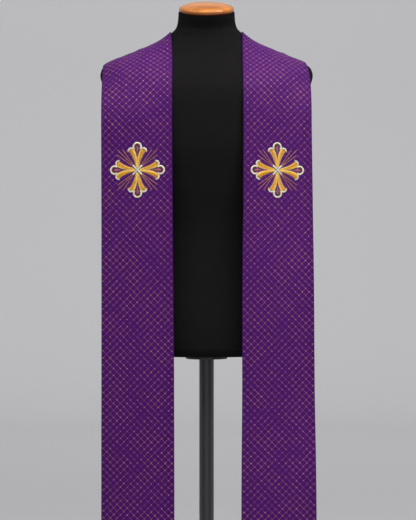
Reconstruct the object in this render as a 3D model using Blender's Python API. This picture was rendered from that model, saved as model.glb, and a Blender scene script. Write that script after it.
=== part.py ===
"""A clerical stole hanging on a limbless dress form, each cut or turned piece a solid.

Metres, +Z up. The front faces -Y, "left" is at -X, and the origin is the centre of the
base's underside. Two straight bands of lined brocade hang down the front, pass over the
form's shoulders and run down and inwards to a mitred seam at the centre of the back.
"""

import math
from collections import namedtuple

import bmesh
import bpy
import numpy as np

# ---- Cloth ------------------------------------------------------------------------------

WALL = 0.002            # brocade, interfacing and lining together
GAP = 0.0003            # between pieces that touch or are sewn together
REST_CLEARANCE = 0.0015 # the cloth's inner side above the form; its facets dip below this
HEM_HEIGHT = 0.350
CHEST_HEIGHT = 1.300    # the bands hang straight below this height
CHEST_BEND_HEIGHT = 1.348
CHEST_BEND_REACH = 0.046  # the bend is spread over this much above and below
TANGENT_FROM = 0.14     # share of the climb to the shoulder where the trial points begin
TANGENT_SAMPLES = 160   # trial points on the body where the cloth may leave it
SEAM_TOP = 1.452        # ends of the mitred seam at the centre of the back
SEAM_BOTTOM = 1.256
CROWN = 0.003           # how far the middle of a hanging band stands forward of its edges
COLUMNS = 8             # facets across a band
HANG_ROWS = 24
SHOULDER_ROWS = 18
BACK_ROWS = 15

# One row for each level of a hanging band: its real width there, how far its two edges lie
# from the centre plane, and how far its inner edge stands in front of the axis. Where the
# edges are closer together than the width, the band is turned outwards to fit.
BandSection = namedtuple("BandSection", "height width inner_x outer_x inner_depth")
# The two ends of the line where the band passes over the shoulder.
Ridge = namedtuple("Ridge", "inner_x outer_x")

BANDS = {
    "left": (
        -1.0,
        Ridge(inner_x=0.0774, outer_x=0.2267),
        (
            BandSection(0.350, 0.1622, 0.0680, 0.2265, 0.1165),
            BandSection(0.550, 0.1605, 0.0685, 0.2260, 0.1180),
            BandSection(0.750, 0.1590, 0.0689, 0.2256, 0.1190),
            BandSection(0.950, 0.1575, 0.0706, 0.2256, 0.1195),
            BandSection(1.160, 0.1560, 0.0722, 0.2258, 0.1195),
            BandSection(1.300, 0.1550, 0.0732, 0.2262, 0.1190),
        ),
    ),
    "right": (
        1.0,
        Ridge(inner_x=0.0763, outer_x=0.2156),
        (
            BandSection(0.350, 0.1622, 0.0745, 0.2365, 0.1150),
            BandSection(0.550, 0.1605, 0.0749, 0.2350, 0.1170),
            BandSection(0.750, 0.1590, 0.0760, 0.2323, 0.1185),
            BandSection(0.950, 0.1575, 0.0760, 0.2309, 0.1195),
            BandSection(1.160, 0.1560, 0.0779, 0.2284, 0.1195),
            BandSection(1.300, 0.1550, 0.0781, 0.2266, 0.1190),
        ),
    ),
}

# ---- Embroidered cross, in its own plane, arms along u (across) and v (up) ----------------

CROSS_HEIGHT = 1.203         # its centre on the band
CROSS_INSET = 0.0018         # how far its centre stands neckwards of the band's middle
CROSS_REACH = 0.0598         # from the centre to the end of an arm
STITCH_RELIEF = 0.0012       # padded satin stitch above the cloth
CORD_RELIEF = 0.0017         # the pale corded edge stands a little higher
LOOP_RADIUS = 0.0100         # outer radius of the loop at the end of an arm
CORD_WIDTH = 0.0036
LOBE_RADIUS = 0.0082         # outer radius of the two side lobes
LOBE_CENTRE = (0.0132, 0.0400)
PETAL_ROOT = 0.0036          # where the petals begin
PETAL_SPLIT = 0.0235         # where the two petals of an arm part
SALTIRE_HALF_LENGTH = 0.0138
SALTIRE_HALF_WIDTH = 0.0018

# Outer edge of an arm's petals: distance from the centre and half width there.
PetalStation = namedtuple("PetalStation", "distance half_width")
PETAL_EDGE = (
    PetalStation(0.0050, 0.0013),
    PetalStation(0.0090, 0.0041),
    PetalStation(0.0150, 0.0058),
    PetalStation(0.0220, 0.0083),
    PetalStation(0.0290, 0.0113),
    PetalStation(0.0345, 0.0144),
    PetalStation(0.0375, 0.0173),
)

# ---- Dress form -----------------------------------------------------------------------------

# One row for each level of the body, from the hips up: an oval |x/a|^n + |y/b|^n = 1 about
# centre_y, with its plane tipped forwards by tilt degrees.
BodyRing = namedtuple("BodyRing", "height half_width half_depth centre_y squareness tilt")
BODY_RINGS = (
    BodyRing(0.8000, 0.1560, 0.0990, 0.0120, 2.30, 0.0),
    BodyRing(0.8060, 0.1640, 0.1060, 0.0120, 2.30, 0.0),
    BodyRing(0.8200, 0.1700, 0.1110, 0.0120, 2.30, 0.0),
    BodyRing(0.8700, 0.1740, 0.1130, 0.0120, 2.30, 0.0),
    BodyRing(0.9600, 0.1640, 0.1060, 0.0100, 2.25, 0.0),
    BodyRing(1.0800, 0.1480, 0.0980, 0.0060, 2.20, 0.0),
    BodyRing(1.1800, 0.1610, 0.1100, 0.0020, 2.30, 0.0),
    BodyRing(1.2700, 0.1780, 0.1210, 0.0000, 2.40, 0.0),
    BodyRing(1.3450, 0.2030, 0.1200, 0.0015, 2.40, 0.0),
    BodyRing(1.3750, 0.2190, 0.1180, 0.0040, 2.40, 0.0),
    BodyRing(1.4000, 0.2310, 0.1130, 0.0100, 2.36, 0.0),
    BodyRing(1.4180, 0.2350, 0.1060, 0.0170, 2.28, 0.0),
    BodyRing(1.4300, 0.2327, 0.1000, 0.0220, 2.20, 0.0),
    BodyRing(1.4407, 0.2240, 0.0940, 0.0260, 2.14, 0.0),
    BodyRing(1.4606, 0.1781, 0.0840, 0.0300, 2.08, 0.0),
    BodyRing(1.4805, 0.1302, 0.0760, 0.0310, 2.05, 0.0),
    BodyRing(1.4938, 0.1035, 0.0715, 0.0300, 2.05, 0.0),
    BodyRing(1.5124, 0.0784, 0.0660, 0.0250, 2.05, 0.0),
    BodyRing(1.5240, 0.0673, 0.0625, 0.0190, 2.05, 4.0),
    BodyRing(1.5380, 0.0633, 0.0604, 0.0115, 2.05, 9.0),
    BodyRing(1.5568, 0.0618, 0.0596, 0.0040, 2.05, 15.9),
)
BODY_SEGMENTS = 48
# Extra rings between two rows of the table, where the body curves or slopes most.
BODY_RING_HEIGHTS = np.concatenate((
    (0.8000, 0.8060, 0.8200, 0.8700),
    np.arange(0.9200, 1.2600, 0.0600),
    (1.2700, 1.3100, 1.3450, 1.3750, 1.4000, 1.4180, 1.4300),
    (1.4360, 1.4407, 1.4470, 1.4540, 1.4606, 1.4670, 1.4740, 1.4805, 1.4870, 1.4938),
    (1.5000, 1.5062, 1.5124, 1.5180, 1.5240, 1.5380, 1.5568),
))

NECK_TILT = math.radians(BODY_RINGS[-1].tilt)
# Radius and height of the turned cap above the neck's top plane, from the bottom centre up.
CAP_PROFILE = (
    (0.0000, 0.0000),
    (0.0568, 0.0000),
    (0.0594, 0.0012),
    (0.0606, 0.0044),
    (0.0608, 0.0071),
    (0.0600, 0.0097),
    (0.0578, 0.0118),
    (0.0532, 0.0141),
    (0.0450, 0.0168),
    (0.0338, 0.0190),
    (0.0184, 0.0204),
    (0.0000, 0.0209),
)
CAP_SEGMENTS = 40

POLE_RADIUS = 0.016
POLE_SEGMENTS = 24
SOCKET_FLOOR = 0.010
FLANGE_RADIUS = 0.046
FLANGE_THICKNESS = 0.007
BASE_RADIUS = 0.200
BASE_THICKNESS = 0.008
COLLAR_RADIUS = 0.029
COLLAR_HEIGHT = 0.058
BASE_SEGMENTS = 56


# ---- Curves and surfaces ------------------------------------------------------------------


def smooth_table(rows, field, at):
    """A table's field at other heights: cubic pieces through its rows that never overshoot."""
    xs = np.array([row.height for row in rows])
    ys = np.array([getattr(row, field) for row in rows])
    step = np.diff(xs)
    slope = np.diff(ys) / step
    tangent = np.zeros_like(ys)
    same_way = slope[:-1] * slope[1:] > 0.0
    mean = 2.0 * slope[:-1] * slope[1:] / np.where(same_way, slope[:-1] + slope[1:], 1.0)
    tangent[1:-1] = np.where(same_way, mean, 0.0)
    tangent[0], tangent[-1] = slope[0], slope[-1]
    at = np.clip(at, xs[0], xs[-1])
    k = np.clip(np.searchsorted(xs, at, side="right") - 1, 0, len(step) - 1)
    s = (at - xs[k]) / step[k]
    rise = ys[k + 1] - ys[k]
    bend = s * (1.0 - s) * (
        (tangent[k] * step[k] - rise) * (1.0 - s) - (tangent[k + 1] * step[k] - rise) * s
    )
    return ys[k] + rise * s + bend


def body_depth(x, height):
    """Half depth of the body's oval at x and height, 0 beyond its sides, and its centre_y."""
    half_width = smooth_table(BODY_RINGS, "half_width", height)
    half_depth = smooth_table(BODY_RINGS, "half_depth", height)
    squareness = smooth_table(BODY_RINGS, "squareness", height)
    inside = np.clip(1.0 - np.abs(x / half_width) ** squareness, 0.0, None)
    centre_y = smooth_table(BODY_RINGS, "centre_y", height)
    return half_depth * inside ** (1.0 / squareness), centre_y


def body_front(x, height):
    """How far the body stands in front of the axis."""
    depth, centre_y = body_depth(x, height)
    return depth - centre_y


def shoulder_height(x):
    """Height of the form's shoulder line at distance x from the centre plane."""
    heights = np.linspace(1.4180, 1.5240, 400)
    half_widths = smooth_table(BODY_RINGS, "half_width", heights)
    return np.interp(-x, -half_widths, heights)


def eased_ramp(distance, reach):
    """0 below -reach and distance above +reach, with a parabola between them."""
    eased = np.clip(distance + reach, 0.0, None) ** 2 / (4.0 * reach)
    return np.where(distance > reach, distance, eased)


def between_edges(height, across, sections):
    """x on the band at a height and a share of the way across it."""
    inner_x = smooth_table(sections, "inner_x", height)
    outer_x = smooth_table(sections, "outer_x", height)
    return inner_x + (outer_x - inner_x) * across


def climb_path(rise, across, ridge_x, ridge_height, sections):
    """x and height from the chest, at rise 0, up to the shoulder line, at rise 1.

    Both ease into the shoulder line, so that the path stays inside the body's width there.
    """
    height = CHEST_HEIGHT + (ridge_height - CHEST_HEIGHT) * (1.0 - (1.0 - rise) ** 2)
    x = between_edges(height, across, sections)
    return x + (ridge_x - x) * (1.0 - (1.0 - rise ** 3) ** 2), height


def front_depth(x, height, across, ridge_x, ridge_height, sections):
    """How far the cloth's inner side stands in front of the axis.

    The cloth lies on the body from the shoulder line down to where a straight line to the
    chest bend first leaves it, follows that line, and hangs plumb below the bend.
    """
    inner_x = smooth_table(sections, "inner_x", height)
    outer_x = smooth_table(sections, "outer_x", height)
    width = smooth_table(sections, "width", height)
    turned_back = np.sqrt(width ** 2 - (outer_x - inner_x) ** 2)
    plumb = smooth_table(sections, "inner_depth", height) - turned_back * across
    plumb = plumb + CROWN * 4.0 * across * (1.0 - across)

    rise = np.linspace(TANGENT_FROM, 1.0, TANGENT_SAMPLES)[:, None]
    trial_x, trial = climb_path(rise, across, ridge_x, ridge_height, sections)
    above = eased_ramp(trial - CHEST_BEND_HEIGHT, CHEST_BEND_REACH)
    fall = (plumb[-1] - body_front(trial_x, trial)) / above
    tangent = np.argmin(fall, axis=0), np.arange(len(across))
    free = plumb - fall[tangent] * eased_ramp(height - CHEST_BEND_HEIGHT, CHEST_BEND_REACH)
    return np.where(height > trial[tangent], body_front(x, height), free)


def resting_surface(side, ridge, sections):
    """The line of the band's inner side as points [row, column, xyz].

    Rows run from the hem up the front, over the shoulder and down the back to the seam.
    Columns run from the inner edge to the outer edge. Behind the shoulder the band turns
    inwards, as a flat strip does when it is laid over a slope.
    """
    across = np.linspace(0.0, 1.0, COLUMNS + 1)
    ridge_x = ridge.inner_x + (ridge.outer_x - ridge.inner_x) * across
    ridge_height = shoulder_height(ridge_x)

    hang = np.linspace(HEM_HEIGHT, CHEST_HEIGHT, HANG_ROWS + 1)[:, None] + 0.0 * across
    rise = np.linspace(0.0, 1.0, SHOULDER_ROWS + 1)[1:, None]
    climb_x, climb = climb_path(rise, across, ridge_x, ridge_height, sections)
    height = np.concatenate((hang, climb))
    x = np.concatenate((between_edges(hang, across, sections), climb_x))
    y = -front_depth(x, height, across, ridge_x, ridge_height, sections)
    front = np.stack((side * x, y, height), axis=-1)

    run = np.linspace(0.0, 1.0, BACK_ROWS + 1)[1:, None] ** 2
    seam_height = SEAM_TOP + (SEAM_BOTTOM - SEAM_TOP) * across
    back_x = ridge_x + (0.5 * GAP - ridge_x) * run
    back_height = ridge_height + (seam_height - ridge_height) * run
    depth, centre_y = body_depth(back_x, back_height)
    back = np.stack((side * back_x, depth + centre_y, back_height), axis=-1)
    return np.concatenate((front, back))


def grid_normals(grid, side):
    """Unit vectors out of the grid, away from the form."""
    along = np.gradient(grid, axis=0)
    over = np.gradient(grid, axis=1)
    normal = side * np.cross(over, along)
    return normal / np.linalg.norm(normal, axis=-1, keepdims=True)


def lifted(grid, side, distance):
    """The grid moved out by distance, with its last row kept in the seam's plane."""
    moved = grid + grid_normals(grid, side) * distance
    moved[-1, :, 0] = grid[-1, :, 0]
    return moved


# ---- Making objects -------------------------------------------------------------------------


def clear_scene():
    for obj in list(bpy.data.objects):
        bpy.data.objects.remove(obj, do_unlink=True)


def srgb(red, green, blue):
    """A colour given as 0 to 255 display values, as Blender's linear values."""
    linear = [((c / 255.0 + 0.055) / 1.055) ** 2.4 for c in (red, green, blue)]
    return (*linear, 1.0)


def make_material(name, colour, roughness, metallic=0.0):
    material = bpy.data.materials.new(name)
    material.use_nodes = True
    shader = material.node_tree.nodes["Principled BSDF"]
    shader.inputs["Base Color"].default_value = colour
    shader.inputs["Roughness"].default_value = roughness
    shader.inputs["Metallic"].default_value = metallic
    material.diffuse_color = colour
    return material


def add_empty(name, location=(0.0, 0.0, 0.0), parent=None):
    empty = bpy.data.objects.new(name, None)
    bpy.context.scene.collection.objects.link(empty)
    empty.location = location
    empty.parent = parent
    return empty


def add_object(name, bm, material, parent, smooth_angle=40.0):
    """Turns a bmesh into a named object, shaded smooth but for edges over the angle."""
    bmesh.ops.recalc_face_normals(bm, faces=bm.faces)
    mesh = bpy.data.meshes.new(name)
    bm.to_mesh(mesh)
    bm.free()
    mesh.materials.append(material)
    mesh.shade_smooth()
    mesh.set_sharp_from_angle(angle=math.radians(smooth_angle))
    obj = bpy.data.objects.new(name, mesh)
    bpy.context.scene.collection.objects.link(obj)
    obj.parent = parent
    return obj


def turned(profile, segments):
    """A solid of revolution about Z, from (radius, height) points that start and end on it."""
    bm = bmesh.new()
    verts = [bm.verts.new((radius, 0.0, height)) for radius, height in profile]
    edges = [bm.edges.new(pair) for pair in zip(verts, verts[1:])]
    bmesh.ops.spin(
        bm,
        geom=verts + edges,
        cent=(0.0, 0.0, 0.0),
        axis=(0.0, 0.0, 1.0),
        angle=math.tau,
        steps=segments,
    )
    bmesh.ops.remove_doubles(bm, verts=bm.verts, dist=1e-6)
    bmesh.ops.dissolve_degenerate(bm, edges=bm.edges, dist=1e-6)
    return bm


def cloth_wall(inner, outer):
    """A closed wall between two grids of the same rows and columns."""
    rows, columns = inner.shape[:2]
    bm = bmesh.new()
    layers = [
        [[bm.verts.new(point) for point in row] for row in grid] for grid in (inner, outer)
    ]
    for layer in layers:
        for r in range(rows - 1):
            for c in range(columns - 1):
                corners = layer[r][c], layer[r][c + 1], layer[r + 1][c + 1], layer[r + 1][c]
                bm.faces.new(corners)
    rim = [(0, c) for c in range(columns)]
    rim += [(r, columns - 1) for r in range(1, rows)]
    rim += [(rows - 1, c) for c in range(columns - 2, -1, -1)]
    rim += [(r, 0) for r in range(rows - 2, 0, -1)]
    for (r0, c0), (r1, c1) in zip(rim, rim[1:] + rim[:1]):
        bm.faces.new((layers[0][r0][c0], layers[0][r1][c1], layers[1][r1][c1], layers[1][r0][c0]))
    return bm


# ---- Embroidery -------------------------------------------------------------------------------


def arc(centre, radius, start, end, steps):
    """Points on a circle from start to end degrees."""
    angles = np.radians(np.linspace(start, end, steps + 1))
    return [(centre[0] + radius * math.cos(a), centre[1] + radius * math.sin(a)) for a in angles]


def mirrored(points):
    """The same points on the other side of the arm, in the order that closes an outline."""
    return [(-u, v) for u, v in reversed(points)]


def petals_outline():
    """The two gold petals of the arm that points up: a tulip, split down its middle."""
    end_radius = LOBE_RADIUS - CORD_WIDTH - GAP
    outer = [(row.half_width, row.distance) for row in PETAL_EDGE]
    end = arc(LOBE_CENTRE, end_radius, -15.0, 118.0, 6)
    inner = [(0.0068, 0.0400), (0.0040, 0.0355), (0.0018, 0.0295)]
    half = [(0.0003, PETAL_ROOT)] + outer + end + inner
    return half + [(0.0, PETAL_SPLIT)] + mirrored(half)


def cord_end_outline():
    """The pale corded edge around the end of an arm: two lobes and the loop between them."""
    loop_centre = (0.0, CROSS_REACH - LOOP_RADIUS)
    lobe = arc(LOBE_CENTRE, LOBE_RADIUS, -12.0, 108.0, 6)
    loop = arc(loop_centre, LOOP_RADIUS, -14.0, 90.0, 6)
    inner_loop = arc(loop_centre, LOOP_RADIUS - CORD_WIDTH, 90.0, -38.0, 6)
    inner_lobe = arc(LOBE_CENTRE, LOBE_RADIUS - CORD_WIDTH, 112.0, -12.0, 6)
    outer_half = lobe + loop
    inner_half = inner_loop + inner_lobe
    return outer_half + mirrored(outer_half)[1:] + mirrored(inner_half) + inner_half[1:]


def saltire_outline():
    """The small diagonal cross over the middle, as an outline with square ends."""
    w, reach = SALTIRE_HALF_WIDTH, SALTIRE_HALF_LENGTH
    bar = [(w, w), (reach, w), (reach, -w), (w, -w)]
    points = []
    for quarter in range(4):
        turn = math.radians(45.0 - 90.0 * quarter)
        for u, v in bar[:3]:
            points.append((
                u * math.cos(turn) - v * math.sin(turn),
                u * math.sin(turn) + v * math.cos(turn),
            ))
    return points


def quarter_turned(outline, quarters):
    """The outline turned clockwise by quarter turns."""
    for _ in range(quarters):
        outline = [(v, -u) for u, v in outline]
    return outline


def stitched_piece(outline, relief, outer, side):
    """A raised piece lying on a band, from an outline in the cross's own plane.

    The outline is cut where it crosses the band's rows and columns, so that the piece
    bends exactly where the cloth does, and its points are then moved out from the cloth's.
    """
    heights = outer[: HANG_ROWS + 1, 0, 2]
    row_at = float(np.interp(CROSS_HEIGHT, heights, np.arange(HANG_ROWS + 1)))
    middle_row = outer[int(round(row_at))]
    width = float(np.linalg.norm(middle_row[-1] - middle_row[0]))
    normals = grid_normals(outer, side)

    def on_band(u, v, lift):
        across = 0.5 + (side * u - CROSS_INSET) / width
        column = float(np.clip(across * COLUMNS, 0.0, COLUMNS - 1e-9))
        row = float(np.interp(CROSS_HEIGHT + v, heights, np.arange(HANG_ROWS + 1)))
        r, c = int(row), int(column)
        s, t = row - r, column - c
        weights = ((1 - s) * (1 - t), (1 - s) * t, s * (1 - t), s * t)
        corners = ((r, c), (r, c + 1), (r + 1, c), (r + 1, c + 1))
        point = sum(w * outer[corner] for w, corner in zip(weights, corners))
        normal = sum(w * normals[corner] for w, corner in zip(weights, corners))
        return point + normal / np.linalg.norm(normal) * lift

    bm = bmesh.new()
    flat = bm.faces.new([bm.verts.new((u, v, 0.0)) for u, v in outline])
    flat.normal_update()
    bmesh.ops.triangulate(bm, faces=[flat])
    cuts = [((0.0, float(h) - CROSS_HEIGHT, 0.0), (0.0, 1.0, 0.0)) for h in heights]
    for c in range(COLUMNS + 1):
        u = side * (width * (c / COLUMNS - 0.5) + CROSS_INSET)
        cuts.append(((u, 0.0, 0.0), (1.0, 0.0, 0.0)))
    for point, normal in cuts:
        geometry = bm.verts[:] + bm.edges[:] + bm.faces[:]
        bmesh.ops.bisect_plane(bm, geom=geometry, dist=1e-6, plane_co=point, plane_no=normal)
    raised = bmesh.ops.extrude_face_region(bm, geom=bm.faces[:])["geom"]
    top = {element for element in raised if isinstance(element, bmesh.types.BMVert)}
    for vert in bm.verts:
        lift = GAP + (relief if vert in top else 0.0)
        vert.co = on_band(vert.co.x, vert.co.y, lift)
    return bm


# ---- Pieces -----------------------------------------------------------------------------------


def make_band(name, outer, inner, material, parent):
    add_object(name, cloth_wall(inner, outer), material, parent, smooth_angle=60.0)


def make_cross(name, outer, side, gold, cord, parent):
    """Four arms of two petals, their corded ends, and the saltire over the middle."""
    for quarters, arm in enumerate(("top", "right", "bottom", "left")):
        petals = quarter_turned(petals_outline(), quarters)
        bm = stitched_piece(petals, STITCH_RELIEF, outer, side)
        add_object(f"{name}_petals_{arm}", bm, gold, parent)
        end = quarter_turned(cord_end_outline(), quarters)
        bm = stitched_piece(end, CORD_RELIEF, outer, side)
        add_object(f"{name}_cord_{arm}", bm, cord, parent)
    bm = stitched_piece(saltire_outline(), CORD_RELIEF, outer, side)
    add_object(f"{name}_saltire", bm, cord, parent)


def make_stole(parent):
    cloth = make_material("purple brocade", srgb(84, 32, 104), 0.62)
    gold = make_material("gold satin stitch", srgb(222, 160, 58), 0.42)
    cord = make_material("pale cord stitch", srgb(240, 234, 205), 0.55)
    for name, (side, ridge, sections) in BANDS.items():
        rest = resting_surface(side, ridge, sections)
        inner = lifted(rest, side, REST_CLEARANCE)
        outer = lifted(rest, side, REST_CLEARANCE + WALL)
        make_band(f"stole_{name}_band", outer, inner, cloth, parent)
        make_cross(f"cross_{name}", outer, side, gold, cord, parent)


def make_torso(parent):
    """The jersey-covered body and neck, a stack of ovals with flat ends."""
    jersey = make_material("black jersey", srgb(30, 29, 30), 0.85)
    heights = BODY_RING_HEIGHTS[:, None]
    angle = np.arange(BODY_SEGMENTS) * math.tau / BODY_SEGMENTS
    power = 2.0 / smooth_table(BODY_RINGS, "squareness", heights)
    across, deep = np.cos(angle), np.sin(angle)
    x = smooth_table(BODY_RINGS, "half_width", heights) * np.sign(across) * np.abs(across) ** power
    y = smooth_table(BODY_RINGS, "half_depth", heights) * np.sign(deep) * np.abs(deep) ** power
    tilt = np.radians(smooth_table(BODY_RINGS, "tilt", heights))
    z = heights + y * np.tan(tilt)
    y = y + smooth_table(BODY_RINGS, "centre_y", heights)
    bm = bmesh.new()
    rings = [[bm.verts.new(p) for p in ring] for ring in np.stack((x, y, z), axis=-1)]
    for lower, upper in zip(rings, rings[1:]):
        for k in range(BODY_SEGMENTS):
            j = (k + 1) % BODY_SEGMENTS
            bm.faces.new((lower[k], lower[j], upper[j], upper[k]))
    bm.faces.new(rings[0])
    bm.faces.new(rings[-1])
    add_object("form_torso", bm, jersey, parent)


def make_cap(parent):
    """The turned wooden cap, seated on the neck's sloping top."""
    wood = make_material("varnished wood", srgb(200, 128, 70), 0.28)
    cap = add_object("form_neck_cap", turned(CAP_PROFILE, CAP_SEGMENTS), wood, parent)
    top = BODY_RINGS[-1]
    lift_y, lift_z = -GAP * math.sin(NECK_TILT), GAP * math.cos(NECK_TILT)
    cap.location = (0.0, top.centre_y + lift_y, top.height + lift_z)
    cap.rotation_euler = (NECK_TILT, 0.0, 0.0)


def make_stand(parent):
    """The steel pole with its top flange, and the round base whose collar it stands in."""
    steel = make_material("painted steel", srgb(42, 42, 44), 0.45, 0.6)
    socket_radius = POLE_RADIUS + GAP
    pole_foot = SOCKET_FLOOR + GAP
    flange_top = BODY_RINGS[0].height - GAP
    pole = (
        (0.0, pole_foot),
        (POLE_RADIUS, pole_foot),
        (POLE_RADIUS, flange_top - FLANGE_THICKNESS),
        (FLANGE_RADIUS, flange_top - FLANGE_THICKNESS),
        (FLANGE_RADIUS, flange_top),
        (0.0, flange_top),
    )
    add_object("form_pole", turned(pole, POLE_SEGMENTS), steel, parent)
    base = (
        (0.0, 0.0),
        (BASE_RADIUS - 0.001, 0.0),
        (BASE_RADIUS, 0.001),
        (BASE_RADIUS, BASE_THICKNESS - 0.003),
        (BASE_RADIUS - 0.004, BASE_THICKNESS),
        (BASE_RADIUS * 0.55, BASE_THICKNESS + 0.004),
        (COLLAR_RADIUS + 0.010, BASE_THICKNESS + 0.007),
        (COLLAR_RADIUS + 0.003, BASE_THICKNESS + 0.012),
        (COLLAR_RADIUS, BASE_THICKNESS + 0.022),
        (COLLAR_RADIUS, COLLAR_HEIGHT - 0.003),
        (COLLAR_RADIUS - 0.003, COLLAR_HEIGHT),
        (socket_radius, COLLAR_HEIGHT),
        (socket_radius, SOCKET_FLOOR),
        (0.0, SOCKET_FLOOR),
    )
    add_object("form_base", turned(base, BASE_SEGMENTS), steel, parent)


def main():
    clear_scene()
    form = add_empty("dress_form")
    stole = add_empty("stole", parent=form)
    make_torso(form)
    make_cap(form)
    make_stand(form)
    make_stole(stole)


main()
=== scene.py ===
"""A clerical stole on a limbless dress form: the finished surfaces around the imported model.

Laid out as a Blender add-on and run as a script. Metres, +Z up. The front faces -Y, "left" is
at -X, and the origin is the centre of the base's underside. Cloth, stitches and turned pieces
are surfaces worked out as whole arrays: a function of two parameters on a grid, or a strip of
stitches between two edges, laid onto the cloth.
"""

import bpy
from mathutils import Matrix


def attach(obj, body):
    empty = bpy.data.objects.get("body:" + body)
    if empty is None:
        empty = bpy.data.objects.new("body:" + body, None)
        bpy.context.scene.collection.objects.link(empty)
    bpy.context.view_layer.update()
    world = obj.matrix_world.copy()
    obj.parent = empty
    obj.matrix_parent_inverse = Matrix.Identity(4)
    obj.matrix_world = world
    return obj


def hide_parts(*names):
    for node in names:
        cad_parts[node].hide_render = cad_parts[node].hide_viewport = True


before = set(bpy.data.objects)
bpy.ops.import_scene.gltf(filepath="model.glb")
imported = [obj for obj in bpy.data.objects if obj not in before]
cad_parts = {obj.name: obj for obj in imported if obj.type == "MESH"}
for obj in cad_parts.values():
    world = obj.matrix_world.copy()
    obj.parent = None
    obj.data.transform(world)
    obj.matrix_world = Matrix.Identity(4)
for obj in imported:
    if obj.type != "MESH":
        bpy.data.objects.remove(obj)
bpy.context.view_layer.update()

import math
from collections import namedtuple

import bmesh
import bpy
import numpy as np

bl_info = {
    "name": "Clerical stole on a dress form",
    "version": (1, 0, 0),
    "blender": (4, 5, 0),
    "location": "3D View > Sidebar > Stole",
    "description": "Makes the brocade bands, the embroidered crosses, the dress form and the studio",
    "category": "Object",
}

ROOT = "root"
FORM_PIECE = "torso_jersey"
GAP = 0.0003            # between pieces that touch or are sewn together
QUARTER_TURN = 0.5 * math.pi


def table(row, *rows):
    """Rows of one kind, each made from its numbers in order."""
    return tuple(row(*numbers) for numbers in rows)


# ---- Cloth ----

REST_CLEARANCE = 0.0016 # the cloth's inner side above the form
HEM_HEIGHT = 0.350
CHEST_HEIGHT = 1.300    # the bands hang straight below this height
CHEST_BEND_HEIGHT = 1.348
CHEST_BEND_REACH = 0.046  # the bend is spread over this much above and below
TANGENT_FROM = 0.14     # share of the climb to the shoulder where the trial points begin
TANGENT_SAMPLES = 160   # trial points on the body where the cloth may leave it
SEAM_TOP = 1.452        # ends of the mitred seam at the centre of the back
SEAM_BOTTOM = 1.256
CROWN = 0.003           # how far the middle of a hanging band stands forward of its edges
FACE_COLUMNS = 36
HANG_ROWS = 150
SHOULDER_ROWS = 56
BACK_ROWS = 72
EDGE_STEPS = 4          # facets round a quarter of the rolled edge
EDGE_TURN = np.linspace(0.0, QUARTER_TURN, EDGE_STEPS + 1)
SLANT_REACH = 0.1       # metres along the cloth that a swell of slant 1 moves in its half width

SEAM_STITCH_REACH = 0.0021  # half the length of a stitch over the seam
SEAM_STITCH_SLANT = 0.35    # how far it climbs, as a share of its length
SEAM_STITCH_RISE = 0.00035  # how far its middle stands out
SEAM_STITCH_SINK = 0.00025  # how far its ends go into the cloth
SEAM_STITCH_SLIP = 0.12     # how unevenly the stitches are spaced and sized
SEAM_THREAD = 0.00024       # radius of the sewing thread
SEAM_RINGS = 9
SEAM_SIDES = 8
SEAM_SEED = 71

BandSection = namedtuple("BandSection", "height width inner_x outer_x inner_depth")
Ridge = namedtuple("Ridge", "inner_x outer_x")
# A soft swell or trough of the cloth: its middle as a share of the way across and metres up
# from the hem along the cloth, how far it reaches, how it slants, and how high it stands.
Swell = namedtuple("Swell", "across along half_width half_length slant lift")
Band = namedtuple("Band", "side ridge sections swells")

LEFT_SECTIONS = table(
    BandSection,
    (0.350, 0.1622, 0.0680, 0.2265, 0.1165),
    (0.550, 0.1605, 0.0685, 0.2260, 0.1180),
    (0.750, 0.1590, 0.0689, 0.2256, 0.1190),
    (0.950, 0.1575, 0.0706, 0.2256, 0.1195),
    (1.160, 0.1560, 0.0722, 0.2258, 0.1195),
    (1.300, 0.1550, 0.0732, 0.2262, 0.1190),
)
LEFT_SWELLS = table(
    Swell,
    (0.22, 0.690, 0.20, 0.110, 0.0, 0.0012), (0.74, 0.580, 0.22, 0.150, 0.0, -0.0013),
    (0.40, 0.410, 0.26, 0.120, 0.5, 0.0015), (0.84, 0.290, 0.18, 0.090, 0.0, 0.0012),
    (0.20, 0.210, 0.20, 0.130, -0.4, -0.0014), (0.62, 0.070, 0.24, 0.080, 0.0, 0.0016),
    (0.30, 0.985, 0.20, 0.030, 0.8, -0.0008), (0.70, 1.060, 0.14, 0.040, 1.2, 0.0012),
    (0.44, 1.150, 0.10, 0.060, 0.9, 0.0013), (0.72, 1.270, 0.09, 0.080, 0.7, 0.0018),
    (0.34, 1.300, 0.08, 0.060, 0.4, 0.0014),
)
RIGHT_SECTIONS = table(
    BandSection,
    (0.350, 0.1622, 0.0745, 0.2365, 0.1150),
    (0.550, 0.1605, 0.0749, 0.2350, 0.1170),
    (0.750, 0.1590, 0.0760, 0.2323, 0.1185),
    (0.950, 0.1575, 0.0760, 0.2309, 0.1195),
    (1.160, 0.1560, 0.0779, 0.2284, 0.1195),
    (1.300, 0.1550, 0.0781, 0.2266, 0.1190),
)
RIGHT_SWELLS = table(
    Swell,
    (0.70, 0.710, 0.20, 0.100, 0.0, -0.0011), (0.28, 0.610, 0.24, 0.130, 0.3, 0.0013),
    (0.66, 0.450, 0.22, 0.140, 0.0, 0.0013), (0.18, 0.350, 0.18, 0.100, 0.0, -0.0012),
    (0.52, 0.220, 0.26, 0.110, -0.5, -0.0015), (0.34, 0.080, 0.22, 0.070, 0.0, 0.0016),
    (0.62, 0.980, 0.22, 0.032, 0.7, -0.0008), (0.36, 1.050, 0.14, 0.040, 1.0, 0.0011),
    (0.66, 1.160, 0.10, 0.055, 0.9, 0.0014), (0.50, 1.290, 0.09, 0.080, 0.6, 0.0017),
    (0.80, 1.330, 0.07, 0.060, 0.5, 0.0013),
)
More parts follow.
